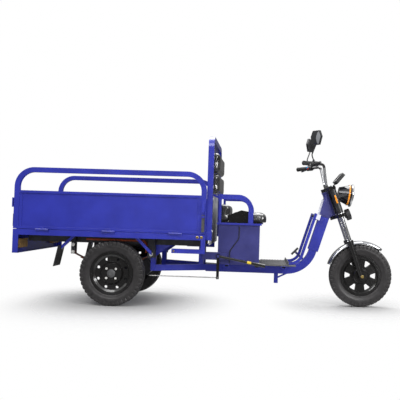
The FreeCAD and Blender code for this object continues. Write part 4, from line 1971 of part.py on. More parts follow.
def make_display():
    """Tilted instrument case above the upper crown."""
    half = DISPLAY_WIDTH / 2
    top = UPPER_CROWN_W + CROWN_THICKNESS
    case = block((0, DISPLAY_LENGTH), (-half, half), (-DISPLAY_DEPTH / 2, DISPLAY_DEPTH / 2))
    edges = [edge for edge in case.Edges if abs(edge.Vertexes[0].Z - edge.Vertexes[1].Z) > DISPLAY_DEPTH / 2]
    case = case.makeFillet(DISPLAY_DEPTH / 2, edges)
    case.rotate(point(0, 0, 0), point(0, 1, 0), RAKE - DISPLAY_TILT)
    case.translate(point(DISPLAY_AHEAD, 0, top + DISPLAY_RISE))
    front = CROWN_DEPTH / 2
    stand = plate([(front - DISPLAY_STAND_DEPTH, top), (front, top),
                   (DISPLAY_AHEAD + DISPLAY_DEPTH, top + DISPLAY_RISE),
                   (DISPLAY_AHEAD, top + DISPLAY_RISE)],
                   (-DISPLAY_STAND_WIDTH / 2, DISPLAY_STAND_WIDTH / 2))
    return [raked(case.fuse(stand))]


def lamp_pivot():
    """Middle of the lamp's side bolts in the fork's axes."""
    return lamp_place(LAMP_BUCKET_LENGTH * LAMP_PIVOT_SHARE)


def lamp_place(along):
    """Place on the lamp's axis in the fork's axes, at a distance ahead of its back."""
    fall = math.radians(RAKE + LAMP_TILT)
    return point(LAMP_AHEAD + along * math.cos(fall), 0, LAMP_UP - along * math.sin(fall))


def lamp_turning(outline):
    """Body turned about the lamp's axis from an outline of (distance ahead, radius)."""
    corners = [point(along, 0, radius) for along, radius in outline]
    solid = Part.Face(Part.makePolygon(corners + corners[:1])).revolve(point(0, 0, 0), point(1, 0, 0), 360)
    solid.rotate(point(0, 0, 0), point(0, 1, 0), RAKE + LAMP_TILT)
    solid.translate(lamp_place(0))
    return solid


def make_headlight_shell():
    """Lamp bucket with a rim and the bolts that hold it between the arms."""
    waist = LAMP_BUCKET_LENGTH * LAMP_WAIST_SHARE
    sheet = LAMP_SHEET
    front = LAMP_BUCKET_LENGTH
    rim = front - LAMP_RIM_DEPTH
    outline = [(0, 0), (0, LAMP_BACK_RADIUS), (waist, LAMP_WAIST_RADIUS), (rim, LAMP_WAIST_RADIUS),
               (rim, LAMP_RING_RADIUS), (front, LAMP_RING_RADIUS), (front, LAMP_WAIST_RADIUS - sheet),
               (waist, LAMP_WAIST_RADIUS - sheet), (sheet, LAMP_BACK_RADIUS - sheet), (sheet, 0)]
    shell = lamp_turning(outline)
    hollow = lamp_turning([(sheet, 0), (sheet, LAMP_BACK_RADIUS - sheet),
                           (waist, LAMP_WAIST_RADIUS - sheet),
                           (front, LAMP_WAIST_RADIUS - sheet), (front, 0)])
    pivot = lamp_pivot()
    reach = LEG_Y - LAMP_ARM_SHEET / 2
    bolts = rod(point(pivot.x, -reach, pivot.z), point(pivot.x, reach, pivot.z), LAMP_PIVOT_RADIUS)
    return [raked(shell.fuse(bolts.cut(hollow)))]


def make_headlight_lens():
    """Domed lens that closes the lamp's mouth."""
    rim = LAMP_WAIST_RADIUS - LAMP_SHEET
    front = LAMP_BUCKET_LENGTH
    dome = (rim * rim + LAMP_LENS_CROWN * LAMP_LENS_CROWN) / (LAMP_LENS_CROWN + LAMP_LENS_CROWN)
    lens = Part.makeSphere(dome, point(front + LAMP_LENS_CROWN - dome, 0, 0))
    inside = Part.makeSphere(dome - LAMP_SHEET, point(front + LAMP_LENS_CROWN - dome, 0, 0))
    mouth = rod(point(front - LAMP_RIM_DEPTH / 2, 0, 0), point(front + LAMP_RING_RADIUS, 0, 0), rim)
    lens = lens.cut(inside).common(mouth)
    lens.rotate(point(0, 0, 0), point(0, 1, 0), RAKE + LAMP_TILT)
    lens.translate(lamp_place(0))
    return [raked(lens)]


def make_horn():
    """Round horn in front of the lower crown, on a short ear."""
    start = point(HORN_AHEAD, 0, HORN_UP)
    rim = HORN_THICKNESS / 4
    horn = rod(start.add(point(rim, 0, 0)), start.add(point(HORN_THICKNESS, 0, 0)), HORN_RADIUS)
    horn = horn.fuse(rod(start, start.add(point(rim, 0, 0)), HORN_RADIUS / 2))
    half = HORN_EAR_WIDTH / 2
    ear = block((CROWN_DEPTH / 2, HORN_AHEAD), (-half, half), (LOWER_CROWN_W, LOWER_CROWN_W + half))
    return [raked(horn.fuse(ear))]


# Conduit and cable


def make_conduit():
    """Conduit along the right chassis rail that turns down at its front end."""
    y = -RAIL_Y - RAIL_WIDTH / 2 - CONDUIT_RADIUS
    z = (RAIL_BOTTOM_Z + RAIL_TOP_Z) / 2
    corners = [point(CONDUIT_REAR, y, z), point(CONDUIT_FRONT, y, z),
               point(CONDUIT_FRONT, y, z - CONDUIT_DROP)]
    return [round_pipe(corners, [CONDUIT_BEND], CONDUIT_RADIUS)]


def make_brake_cable():
    """Cable down the right side of the seat box."""
    y = -SEAT_BOX_WIDTH / 2 - CABLE_RADIUS
    high = SEAT_BOX_REAR + CABLE_TOP_AHEAD
    low = SEAT_BOX_REAR + CABLE_LOW_AHEAD
    step = SEAT_BOX_HEIGHT / 3
    corners = [point(high, y, SEAT_BOX_TOP_Z - CABLE_MARGIN), point(high, y, SEAT_BOX_TOP_Z - step),
               point(low, y, SEAT_BOX_TOP_Z - step - step), point(low, y, FLOOR_LINE_Z + CABLE_MARGIN)]
    return [round_pipe(corners, [CABLE_BEND, CABLE_BEND], CABLE_RADIUS)]


# All pieces, each under its own name


def rear_tyre(side):
    return [tyre(REAR_TYRE_OD, 0, side * REAR_TRACK / 2, REAR_AXLE_Z)]


def make_nodes():
    """Name of each piece and its solids."""
    nodes = {
        "main_tube": make_main_tube() + make_neck_sleeve(),
        "subframe": make_subframe() + make_stand_bracket() + make_pedal_bracket() + make_footboard(),
        "chassis_rails": make_chassis_rails() + make_spring_hangers(),
        "head_tube": make_head_tube() + make_headset_bearings(),
        "leg_guard": make_leg_guard() + make_guard_bridge() + make_neck_stay(),
        "foot_mat": make_foot_mat(),
        "seat_box": make_seat_box() + make_park_quadrant(),
        "power_pack": make_batteries() + make_controller(),
        "armrests": make_armrests(),
        "headboard_frame": make_headboard_frame(),
        "headboard_panels": make_headboard_panels(),
        "back_pad_upper": back_pad(UPPER_PAD_Z),
        "back_pad_lower": back_pad(LOWER_PAD_Z),
        "bed_frame": make_bed_frame(),
        "bed_floor": make_bed_floor(),
        "bed_brackets": make_side_loops() + make_flap_arms() + make_wheel_stays(),
        "hinges": make_gate_hinges() + make_seat_hinges(),
        "tail_panel": make_tail_panel(),
        "tail_lamps": make_tail_lamps(),
        "mudflaps": make_mudflaps(),
        "leaf_springs": make_leaf_springs(),
        "cables": make_conduit() + make_brake_cable(),
        "parking_lever": make_park_lever(),
        "parking_rod": make_park_rod(),
        "brake_pedal": make_brake_pedal(),
        "tailgate": make_tailgate(),
        "seat_pan": make_seat_pan(),
        "seat_cushion": make_seat_cushion(),
        "seat_low_back": make_seat_low_back(),
        "axle_housing": make_axle_housing() + make_u_bolts() + make_brake_plates(),
        "drive_motor": make_drive_motor(),
        "fork_crowns": make_fork_crowns() + make_steering_stem(),
        "stanchions": make_stanchions(),
        "fork_covers": make_fork_covers() + make_side_reflectors(),
        "handlebar": make_handlebar() + make_bar_mounts(),
        "display": make_display(),
        "headlight_shell": make_headlight_shell(),
        "headlight_lens": make_headlight_lens(),
        "horn": make_horn(),
        "throttle_grip": make_grip(-1, RUN_FIT),
        "switch_pods": make_pod(-1) + make_pod(1) + make_grip(1, 0),
        "horn_button": make_horn_button(),
        "fork_sliders": make_fork_sliders() + make_front_axle() + make_fender_braces(),
        "front_fender": make_front_fender(),
        "front_tyre": [tyre(FRONT_TYRE_OD, WHEELBASE, 0, FRONT_AXLE_Z)],
        "front_wheel": make_front_wheel(),
    }
    for name, side in (("right", -1), ("left", 1)):
        nodes["side_gate_" + name] = on_side(make_side_gate() + make_side_rail(), side)
        nodes["side_latch_" + name] = on_side(make_side_latch(), side)
        nodes["tail_latch_" + name] = make_tail_latch((side + 1) // 2)
        nodes["rear_tyre_" + name] = rear_tyre(side)
        nodes["rear_wheel_" + name] = on_side(make_rear_wheel() + make_wheel_nuts(), side)
        nodes["brake_lever_" + name] = make_brake_lever(side)
        nodes["mirror_" + name] = make_mirror(side)
    return nodes


def main():
    os.makedirs("parts", exist_ok=True)
    for name, solids in make_nodes().items():
        shape = solids[0] if len(solids) == 1 else Part.makeCompound(solids)
        shape = shape.copy()
        shape.translate(point(-MIDDLE_X, 0, 0))
        shape.exportStep("parts/" + name + ".step")


if __name__ == "__main__":
    main()
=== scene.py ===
import math
import bpy
import bmesh
from mathutils import Matrix, Vector


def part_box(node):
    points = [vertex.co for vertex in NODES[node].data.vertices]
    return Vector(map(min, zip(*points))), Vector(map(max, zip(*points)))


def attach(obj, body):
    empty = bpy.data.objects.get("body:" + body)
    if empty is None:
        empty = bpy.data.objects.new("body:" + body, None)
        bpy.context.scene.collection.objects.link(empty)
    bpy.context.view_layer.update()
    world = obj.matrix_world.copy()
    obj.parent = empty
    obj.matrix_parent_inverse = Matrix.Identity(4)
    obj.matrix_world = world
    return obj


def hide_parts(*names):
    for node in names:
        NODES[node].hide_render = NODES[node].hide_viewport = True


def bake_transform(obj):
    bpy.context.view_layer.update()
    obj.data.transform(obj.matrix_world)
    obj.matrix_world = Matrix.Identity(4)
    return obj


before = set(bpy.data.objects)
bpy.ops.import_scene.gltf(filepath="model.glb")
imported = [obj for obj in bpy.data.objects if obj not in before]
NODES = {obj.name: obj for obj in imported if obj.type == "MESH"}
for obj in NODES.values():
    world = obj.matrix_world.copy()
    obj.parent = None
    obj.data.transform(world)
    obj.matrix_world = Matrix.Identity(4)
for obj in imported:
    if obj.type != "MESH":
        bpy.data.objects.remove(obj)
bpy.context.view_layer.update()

SCENE = bpy.context.scene

# Places on the tricycle, in metres


def middle_of(node):
    low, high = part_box(node)
    return (Vector(low) + Vector(high)) / 2


REAR_WHEEL = middle_of("rear_tyre_left")
FRONT_AXLE = middle_of("front_tyre")
REAR_AXLE_X = REAR_WHEEL.x
BED_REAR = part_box("bed_frame")[0][0]
BED_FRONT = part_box("bed_frame")[1][0]
RAKE = math.radians(20.0)


def fork_axes(place):
    """Distance ahead of the fork legs and height along them of a place."""
    ahead = place[0] - FRONT_AXLE.x
    rise = place[2] - FRONT_AXLE.z
    return ahead * math.cos(RAKE) + rise * math.sin(RAKE), rise * math.cos(RAKE) - ahead * math.sin(RAKE)


def fork_place(u, y, w):
    """Place on the tricycle of a point in the fork's axes."""
    return Vector((FRONT_AXLE.x + u * math.cos(RAKE) - w * math.sin(RAKE), y,
                   FRONT_AXLE.z + u * math.sin(RAKE) + w * math.cos(RAKE)))


# Materials


def shader(name):
    material = bpy.data.materials.new(name)
    material.use_nodes = True
    tree = material.node_tree
    tree.nodes.clear()
    output = tree.nodes.new("ShaderNodeOutputMaterial")
    surface = tree.nodes.new("ShaderNodeBsdfPrincipled")
    tree.links.new(surface.outputs["BSDF"], output.inputs["Surface"])
    return material, tree, surface


def noise(tree, scale, detail=4.0, stretch=(1.0, 1.0, 1.0)):
    place = tree.nodes.new("ShaderNodeTexCoord")
    mapping = tree.nodes.new("ShaderNodeMapping")
    mapping.inputs["Scale"].default_value = stretch
    texture = tree.nodes.new("ShaderNodeTexNoise")
    texture.inputs["Scale"].default_value = scale
    texture.inputs["Detail"].default_value = detail
    tree.links.new(place.outputs["Object"], mapping.inputs["Vector"])
    tree.links.new(mapping.outputs["Vector"], texture.inputs["Vector"])
    return texture.outputs["Fac"]


def ramp(tree, value, dark, light, low=0.35, high=0.65):
    node = tree.nodes.new("ShaderNodeValToRGB")
    node.color_ramp.elements[0].position = low
    node.color_ramp.elements[0].color = (*dark, 1.0)
    node.color_ramp.elements[1].position = high
    node.color_ramp.elements[1].color = (*light, 1.0)
    tree.links.new(value, node.inputs["Fac"])
    return node.outputs["Color"]


def spread(tree, value, low, high):
    node = tree.nodes.new("ShaderNodeMapRange")
    node.inputs["From Min"].default_value = 0.3
    node.inputs["From Max"].default_value = 0.7
    node.inputs["To Min"].default_value = low
    node.inputs["To Max"].default_value = high
    tree.links.new(value, node.inputs["Value"])
    return node.outputs["Result"]


def relief(tree, surface, value, strength, distance, edge):
    bump = tree.nodes.new("ShaderNodeBump")
    bump.inputs["Strength"].default_value = strength
    bump.inputs["Distance"].default_value = distance
    tree.links.new(value, bump.inputs["Height"])
    if edge > 0:
        bevel = tree.nodes.new("ShaderNodeBevel")
        bevel.samples = 4
        bevel.inputs["Radius"].default_value = edge
        tree.links.new(bevel.outputs["Normal"], bump.inputs["Normal"])
    tree.links.new(bump.outputs["Normal"], surface.inputs["Normal"])
    return bump


def finish(name, dark, light, rough, metal=0.0, coat=0.0, patch=6.0, grain=300.0, depth=0.0002, edge=0.0015,
           stretch=(1.0, 1.0, 1.0), strength=0.25):
    """Procedural finish: patchy colour and gloss, fine grain and softened edges."""
    material, tree, surface = shader(name)
    wide = noise(tree, patch, 5.0)
    fine = noise(tree, grain, 3.0, stretch)
    tree.links.new(ramp(tree, wide, dark, light), surface.inputs["Base Color"])
    tree.links.new(spread(tree, fine, rough[0], rough[1]), surface.inputs["Roughness"])
    surface.inputs["Metallic"].default_value = metal
    surface.inputs["Coat Weight"].default_value = coat
    surface.inputs["Coat Roughness"].default_value = 0.08
    relief(tree, surface, fine, strength, depth, edge)
    return material


BLUE = finish("blue_paint", (0.014, 0.020, 0.25), (0.019, 0.027, 0.32), (0.28, 0.42), coat=0.9, edge=0.002)
# Darker blue: the seat box's deeper navy paint, and painted shade where it stands for the shaded neck of the
# head tube
DEEP_BLUE_AND_SHADE = finish("deep_blue_paint_and_shade", (0.020, 0.021, 0.115), (0.034, 0.036, 0.17), (0.3, 0.45), coat=0.35)
BLACK = finish("black_paint", (0.0035, 0.0032, 0.0032), (0.0075, 0.007, 0.007), (0.14, 0.26), coat=0.9)
FRAME_BLACK = finish("frame_black", (0.012, 0.012, 0.014), (0.03, 0.03, 0.034), (0.45, 0.65), patch=14.0)
GREY = finish("grey_paint", (0.36, 0.37, 0.40), (0.52, 0.53, 0.55), (0.35, 0.5))
PALE_PAINT = finish("pale_paint", (0.55, 0.56, 0.64), (0.68, 0.69, 0.76), (0.3, 0.45), coat=0.3)
STEEL = finish("zinc_steel", (0.40, 0.40, 0.40), (0.62, 0.61, 0.58), (0.25, 0.42), metal=1.0, patch=40.0)
CHROME = finish("chrome", (0.50, 0.51, 0.53), (0.70, 0.71, 0.72), (0.05, 0.12), metal=1.0, grain=120.0,
                depth=0.00005, edge=0.0)
POLISHED = finish("polished_steel", (0.42, 0.43, 0.45), (0.58, 0.59, 0.61), (0.06, 0.14), metal=1.0,
                  grain=120.0, depth=0.00005, edge=0.0)
ZINC = finish("bright_zinc", (0.52, 0.52, 0.50), (0.74, 0.73, 0.70), (0.25, 0.4), metal=0.3, patch=50.0)
DARK_GREY = finish("dark_grey_grip", (0.035, 0.035, 0.037), (0.07, 0.07, 0.072), (0.5, 0.7), patch=30.0)
BRASS = finish("brass", (0.50, 0.36, 0.12), (0.72, 0.55, 0.22), (0.25, 0.4), metal=1.0, patch=60.0)
CAST = finish("cast_aluminium", (0.30, 0.30, 0.31), (0.48, 0.48, 0.50), (0.45, 0.65), metal=1.0, patch=30.0,
              depth=0.0005)
TYRE = finish("tyre_rubber", (0.015, 0.014, 0.0145), (0.026, 0.024, 0.025), (0.34, 0.5), patch=30.0,
              depth=0.0009, strength=0.5)
RUBBER = finish("rubber", (0.012, 0.012, 0.012), (0.03, 0.03, 0.03), (0.55, 0.8), patch=18.0, depth=0.0004)
MAT = finish("floor_mat", (0.05, 0.05, 0.052), (0.09, 0.09, 0.092), (0.55, 0.8), patch=18.0, depth=0.0005)
PLASTIC = finish("black_plastic", (0.011, 0.011, 0.012), (0.024, 0.024, 0.026), (0.3, 0.5), patch=20.0,
                 depth=0.0003)
GLOSS = finish("gloss_black", (0.006, 0.006, 0.008), (0.014, 0.014, 0.018), (0.06, 0.14), coat=0.6, patch=9.0)
PRIMER = finish("spring_steel", (0.09, 0.035, 0.022), (0.16, 0.06, 0.035), (0.5, 0.7), metal=0.3, patch=25.0,
                depth=0.0005)
AMBER = finish("amber_lens", (0.70, 0.22, 0.01), (0.95, 0.36, 0.02), (0.1, 0.2), coat=0.6, patch=80.0)
RED = finish("red_lens", (0.35, 0.010, 0.008), (0.55, 0.02, 0.012), (0.1, 0.2), coat=0.6, patch=80.0)
PALE = finish("pale_lens", (0.70, 0.70, 0.70), (0.86, 0.86, 0.86), (0.1, 0.2), coat=0.6, patch=80.0)
BOARD = finish("lamp_back", (0.16, 0.09, 0.03), (0.28, 0.17, 0.06), (0.4, 0.6), patch=40.0)
YELLOW = finish("yellow_plastic", (0.60, 0.42, 0.03), (0.78, 0.58, 0.05), (0.3, 0.45), patch=50.0)
SKY = finish("light_blue_plastic", (0.05, 0.28, 0.55), (0.08, 0.36, 0.68), (0.3, 0.45), patch=60.0)
# Mirror tint darkened well below real mirror glass, a painted reflection of the dark surroundings it faces
MIRROR = finish("mirror_glass", (0.24, 0.25, 0.27), (0.32, 0.33, 0.35), (0.01, 0.03), metal=1.0, grain=40.0,
                depth=0.00001, edge=0.0)
PACK = finish("battery_case", (0.03, 0.03, 0.033), (0.06, 0.06, 0.065), (0.4, 0.55), patch=20.0)
CABLE = finish("cable_sheath", (0.008, 0.008, 0.008), (0.02, 0.02, 0.02), (0.35, 0.5), patch=60.0)
CONDUIT = finish("conduit", (0.15, 0.03, 0.012), (0.25, 0.05, 0.016), (0.4, 0.55), patch=40.0)


def make_vinyl():
    """Soft black vinyl with a pebbled grain and a sheen."""
    material, tree, surface = shader("black_vinyl")
    place = tree.nodes.new("ShaderNodeTexCoord")
    cells = tree.nodes.new("ShaderNodeTexVoronoi")
    cells.inputs["Scale"].default_value = 420.0
    tree.links.new(place.outputs["Object"], cells.inputs["Vector"])
    wide = noise(tree, 9.0, 4.0)
    creases = noise(tree, 34.0, 2.0, (1.0, 0.35, 1.0))
    shade = ramp(tree, wide, (0.014, 0.014, 0.015), (0.030, 0.030, 0.032))
    tree.links.new(shade, surface.inputs["Base Color"])
    tree.links.new(spread(tree, wide, 0.16, 0.30), surface.inputs["Roughness"])
    surface.inputs["Coat Weight"].default_value = 0.9
    surface.inputs["Coat Roughness"].default_value = 0.1
    pebbles = relief(tree, surface, cells.outputs["Distance"], 0.25, 0.0004, 0.0)
    folds = relief(tree, surface, creases, 0.5, 0.006, 0.0)
    tree.links.new(folds.outputs["Normal"], pebbles.inputs["Normal"])
    tree.links.new(pebbles.outputs["Normal"], surface.inputs["Normal"])
    return material


def make_glass():
    """Clear lens with moulded ripples."""
    material, tree, surface = shader("clear_lens")
    wide = noise(tree, 60.0, 2.0)
    tree.links.new(ramp(tree, wide, (0.90, 0.92, 0.94), (0.97, 0.98, 0.99)), surface.inputs["Base Color"])
    tree.links.new(spread(tree, wide, 0.01, 0.04), surface.inputs["Roughness"])
    surface.inputs["Transmission Weight"].default_value = 1.0
    surface.inputs["IOR"].default_value = 1.2
    relief(tree, surface, wide, 0.1, 0.0005, 0.0)
    return material


VINYL = make_vinyl()
GLASS = make_glass()

NODE_MATERIALS = {
    # the head tube's darker blue is painted shade on its neck
    "main_tube": BLUE, "leg_guard": BLUE, "head_tube": DEEP_BLUE_AND_SHADE, "armrests": BLUE, "headboard_frame": BLUE,
    "bed_frame": BLUE, "bed_brackets": BLUE, "tail_panel": BLUE, "side_gate_right": BLUE,
    "side_gate_left": BLUE, "tailgate": BLUE, "seat_box": DEEP_BLUE_AND_SHADE, "subframe": BLUE,
    "chassis_rails": FRAME_BLACK, "axle_housing": FRAME_BLACK, "rear_wheel_right": BLACK,
    "rear_wheel_left": BLACK, "front_wheel": BLACK, "fork_sliders": BLACK, "fork_crowns": BLACK,
    "seat_pan": BLACK, "parking_lever": BLACK, "brake_pedal": DEEP_BLUE_AND_SHADE, "tail_latch_right": BLACK,
    "tail_latch_left": BLACK, "headboard_panels": GREY, "bed_floor": BLUE, "hinges": BLUE,
    "parking_rod": STEEL, "side_latch_right": DARK_GREY, "side_latch_left": DARK_GREY,
    "brake_lever_right": BLACK, "brake_lever_left": BLACK, "stanchions": CHROME, "handlebar": CHROME,
    "front_fender": POLISHED, "drive_motor": CAST, "foot_mat": MAT, "mudflaps": RUBBER,
    "throttle_grip": RUBBER, "cables": CABLE, "power_pack": PACK, "switch_pods": PLASTIC,
    "display": PLASTIC, "headlight_shell": GLOSS, "horn": PLASTIC, "mirror_right": PLASTIC,
    "mirror_left": PLASTIC, "fork_covers": PLASTIC, "tail_lamps": BOARD, "horn_button": RED,
    "headlight_lens": GLASS, "leaf_springs": PRIMER, "rear_tyre_right": TYRE, "rear_tyre_left": TYRE,
    "front_tyre": TYRE, "back_pad_upper": VINYL, "back_pad_lower": VINYL, "seat_cushion": VINYL,
    "seat_low_back": VINYL,
}


SHARP_ANGLE = 30.0


def dress(node, *parts):
    """Gives a CAD node its finish, and another finish to each share of its faces that a rule picks."""
    mesh = NODES[node].data
    mesh.materials.clear()
    mesh.materials.append(NODE_MATERIALS[node])
    for material, _ in parts:
        mesh.materials.append(material)
    mesh.set_sharp_from_angle(angle=math.radians(SHARP_ANGLE))
    for face in mesh.polygons:
        face.use_smooth = True
        face.material_index = 0
        corners = [mesh.vertices[i].co for i in face.vertices]
        for index, (_, rule) in enumerate(parts):
            if all(rule(corner) for corner in corners):
                face.material_index = index + 1


for each in NODE_MATERIALS:
    dress(each)


# Mesh pieces


def piece(name, vertices, faces, material, body, bend=35.0):
    mesh = bpy.data.meshes.new(name)
    mesh.from_pydata([tuple(v) for v in vertices], [], faces)
    mesh.validate()
    shape = bmesh.new()
    shape.from_mesh(mesh)
    bmesh.ops.recalc_face_normals(shape, faces=shape.faces)
    shape.to_mesh(mesh)
    shape.free()
    mesh.materials.append(material)
    for face in mesh.polygons:
        face.use_smooth = True
    mesh.set_sharp_from_angle(angle=math.radians(bend))
    obj = bpy.data.objects.new(name, mesh)
    SCENE.collection.objects.link(obj)
    if body:
        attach(obj, body)
    return obj


def axes_about(axis):
    """Two directions square to an axis and to each other."""
    along = Vector(axis).normalized()
    side = along.cross(Vector((0, 0, 1)))
    if side.length < 0.1:
        side = along.cross(Vector((0, 1, 0)))
    side.normalize()
    return along, side, along.cross(side)


def bands(rows, count, closed=False):
    """Faces between rows of points, each row a closed ring."""
    faces = []
    for row in range(rows if closed else rows - 1):
        here, after = row * count, (row + 1) % rows * count
        for step in range(count):
            ahead = (step + 1) % count
            faces.append((here + step, here + ahead, after + ahead, after + step))
    return faces


def turned(profile, centre, axis, count, closed=False):
    """Vertices and faces of a profile of (along, radius) turned about an axis."""
    along, side, other = axes_about(axis)
    vertices = []
    for distance, radius in profile:
        for step in range(count):
            angle = 2 * math.pi * step / count
            spoke = side * math.cos(angle) + other * math.sin(angle)
            vertices.append(Vector(centre) + along * distance + spoke * radius)
    rows = len(profile)
    faces = bands(rows, count, closed)
    if not closed:
        faces.append(tuple(range(count)))
        faces.append(tuple(range((rows - 1) * count, rows * count)))
    return vertices, faces


def block(centre, half, axes, chamfer):
    """Vertices and faces of a box with chamfered long edges; axes are its three directions."""
    a, b, c = axes
    ring = []
    for sign_b, sign_c, order in ((1, 1, 0), (-1, 1, 1), (-1, -1, 0), (1, -1, 1)):
        wide = (sign_b * half[1], sign_c * (half[2] - chamfer))
        tall = (sign_b * (half[1] - chamfer), sign_c * half[2])
        ring += [wide, tall] if order == 0 else [tall, wide]
    vertices = []
    for level in (-half[0], half[0]):
        for across, up in ring:
            vertices.append(Vector(centre) + a * level + b * across + c * up)
    count = len(ring)
    faces = [(i, (i + 1) % count, count + (i + 1) % count, count + i) for i in range(count)]
    faces += [tuple(range(count)), tuple(range(count, 2 * count))]
    return vertices, faces


def gather(shapes):
    """Several sets of vertices and faces as one."""
    vertices, faces = [], []
    for shape_vertices, shape_faces in shapes:
        base = len(vertices)
        vertices += shape_vertices
        faces += [tuple(base + i for i in face) for face in shape_faces]
    return vertices, faces


X, Y, Z = Vector((1, 0, 0)), Vector((0, 1, 0)), Vector((0, 0, 1))


# Tyres


TYRE_BEAD, TYRE_FLANGE = 0.1528, 0.1683
TREAD_HALF, TREAD_CROWN, TREAD_DEPTH, TREAD_NOTCH = 0.042, 0.0055, 0.0055, 0.0034
TREAD_ROWS, NOTCH_ROWS, BLOCK_STEPS = 16, 3, 8


def tyre_profile(top):
    """Outer wall, tread and inside of a tyre, as (radius, across), and the row where its tread begins."""
    shoulder = top - 0.006
    belly = (TYRE_FLANGE + shoulder) / 2
    wall = [(TYRE_BEAD, -0.0307), (TYRE_FLANGE, -0.0307), (TYRE_FLANGE + 0.010, -0.0372),
            (TYRE_FLANGE + 0.013, -0.0372), (belly - 0.012, -0.0448), (belly - 0.010, -0.0456),
            (belly + 0.006, -0.0472), (belly + 0.009, -0.0464), (shoulder - 0.029, -0.0464),
            (shoulder - 0.027, -0.0462), (shoulder - 0.014, -0.0458), (shoulder - 0.009, -0.0456)]
    crown = []
    for step in range(TREAD_ROWS + 1):
        across = -TREAD_HALF + 2 * TREAD_HALF * step / TREAD_ROWS
        crown.append((top - 0.0005 - TREAD_CROWN * (across / TREAD_HALF) ** 2, across))
    far_wall = [(radius, -across) for radius, across in wall[::-1]]
    inside = [(TYRE_BEAD, 0.0187), (belly, 0.036), (top - 0.018, 0.024), (top - 0.018, -0.024),
              (belly, -0.036), (TYRE_BEAD, -0.0187)]
    return wall + crown + far_wall + inside, len(wall)


def in_groove(place, across, step):
    """Whether a point of the tread or shoulder lies in a groove, between blocks that are set in two rows."""
    shift = BLOCK_STEPS // 2 if abs(across) < 0.020 else 0
    between = (step + shift) % BLOCK_STEPS in (0, 1)
    around = 4 <= place <= 5 or 11 <= place <= 12
    return around or between and abs(across) > 0.006


def tyre_piece(node, body, centre, top, blocks):
    """Tyre with ribbed walls and a block tread, in the shape of its CAD node."""
    profile, first = tyre_profile(top)
    count = blocks * BLOCK_STEPS
    vertices = []
    for row, (radius, across) in enumerate(profile):
        place = row - first
        for step in range(count):
            depth = notch = 0.0
            if -NOTCH_ROWS <= place <= TREAD_ROWS + NOTCH_ROWS and in_groove(place, across, step):
                if 0 <= place <= TREAD_ROWS:
                    depth = TREAD_DEPTH
                else:
                    notch = TREAD_NOTCH
            angle = 2 * math.pi * step / count
            reach = radius - depth
            vertices.append(Vector((centre[0] + reach * math.cos(angle),
                                    centre[1] + across - math.copysign(notch, across),
                                    centre[2] + reach * math.sin(angle))))
    obj = piece(node + "_treaded", vertices, bands(len(profile), count, True), TYRE, body, 30.0)
    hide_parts(node)


tyre_piece("rear_tyre_right", "wheel_rear_right", middle_of("rear_tyre_right"), REAR_WHEEL.z, 44)
tyre_piece("rear_tyre_left", "wheel_rear_left", REAR_WHEEL, REAR_WHEEL.z, 44)
tyre_piece("front_tyre", "wheel_front", FRONT_AXLE, FRONT_AXLE.z, 46)


# Front fender


FENDER_HALF, FENDER_SHEET, FENDER_DROP, FENDER_GAP = 0.059, 0.0025, 0.020, 0.026
FENDER_EDGE = FRONT_AXLE.z + FENDER_GAP - FENDER_DROP
FENDER_FRONT, FENDER_REAR = 52.0, 162.0
FENDER_STEPS, FENDER_ROWS = 20, 72
FENDER_ROUND = 0.8
FENDER_TAPER, FENDER_NARROW = 0.06, 0.45
LIP_DROP, LIP_OUT, LIP_IN = 0.003, 0.0005, 0.0045


def fender_profile(share):
    """Closed outline (y, height over the turned-down edge) of the fender's sheet, narrower near its ends."""
    half = FENDER_HALF * share
    outside, inside = [], []
    for step in range(FENDER_STEPS + 1):
        angle = math.pi * (step / FENDER_STEPS - 0.5)
        wide = math.copysign(abs(math.sin(angle)) ** FENDER_ROUND, math.sin(angle))
        tall = max(math.cos(angle), 0.0) ** FENDER_ROUND
        outside.append((wide * half, tall * (FENDER_DROP + FENDER_SHEET)))
        inside.append((wide * (half - FENDER_SHEET), tall * FENDER_DROP))
    lip = [(half - LIP_OUT, -LIP_DROP), (half - LIP_IN, -LIP_DROP)]
    return outside + lip + inside[::-1] + [(-y, height) for y, height in lip[::-1]]


def fender():
    """Domed sheet over the front tyre with rolled edges and rounded ends, in place of the plain channel."""
    vertices = []
    for step in range(FENDER_ROWS + 1):
        along = step / FENDER_ROWS
        near_end = max(0.0, 1.0 - min(along, 1.0 - along) / FENDER_TAPER)
        angle = math.radians(FENDER_FRONT + (FENDER_REAR - FENDER_FRONT) * along)
        ring = fender_profile(1.0 - FENDER_NARROW * near_end ** 3)
        for y, height in ring:
            reach = FENDER_EDGE + height
            vertices.append(Vector((FRONT_AXLE.x + reach * math.cos(angle), y,
                                    FRONT_AXLE.z + reach * math.sin(angle))))
    count = len(ring)
    faces = bands(FENDER_ROWS + 1, count)
    for start in (0, FENDER_ROWS * count):
        for i in range(FENDER_STEPS):
            faces.append((start + i, start + i + 1, start + count - 4 - i, start + count - 3 - i))
        faces.append(tuple(start + i for i in range(FENDER_STEPS, FENDER_STEPS + 4)))
        faces.append((start + count - 3, start + count - 2, start + count - 1, start))
    obj = piece("front_fender_domed", vertices, faces, POLISHED, "fork_lower", 50.0)
    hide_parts("front_fender")


fender()


# Leaf springs, each half curving up from the axle to its eye at the chassis


SPRING_Y, SPRING_X = 0.320, REAR_AXLE_X - 0.025
SPRING_RADIUS, SPRING_CENTRE_Z, SPRING_REACH = 0.632625, 0.956625, 0.315
LEAF_THICK, LEAF_PITCH, LEAF_HALF, LEAF_STEPS = 0.0066, 0.007, 0.0218, 18
LEAF_SHARES = (1.0, 0.78, 0.56, 0.36)
LEAF_SECTION = ((0.0, 0.92), (0.2, 1.0), (0.8, 1.0), (1.0, 0.92))
EYE_FRONT, EYE_REAR, EYE_Z, SHACKLE_Z = REAR_AXLE_X + 0.290, REAR_AXLE_X - 0.340, 0.408, 0.466
EYE_BORE, EYE_RADIUS = 0.0085, 0.0158


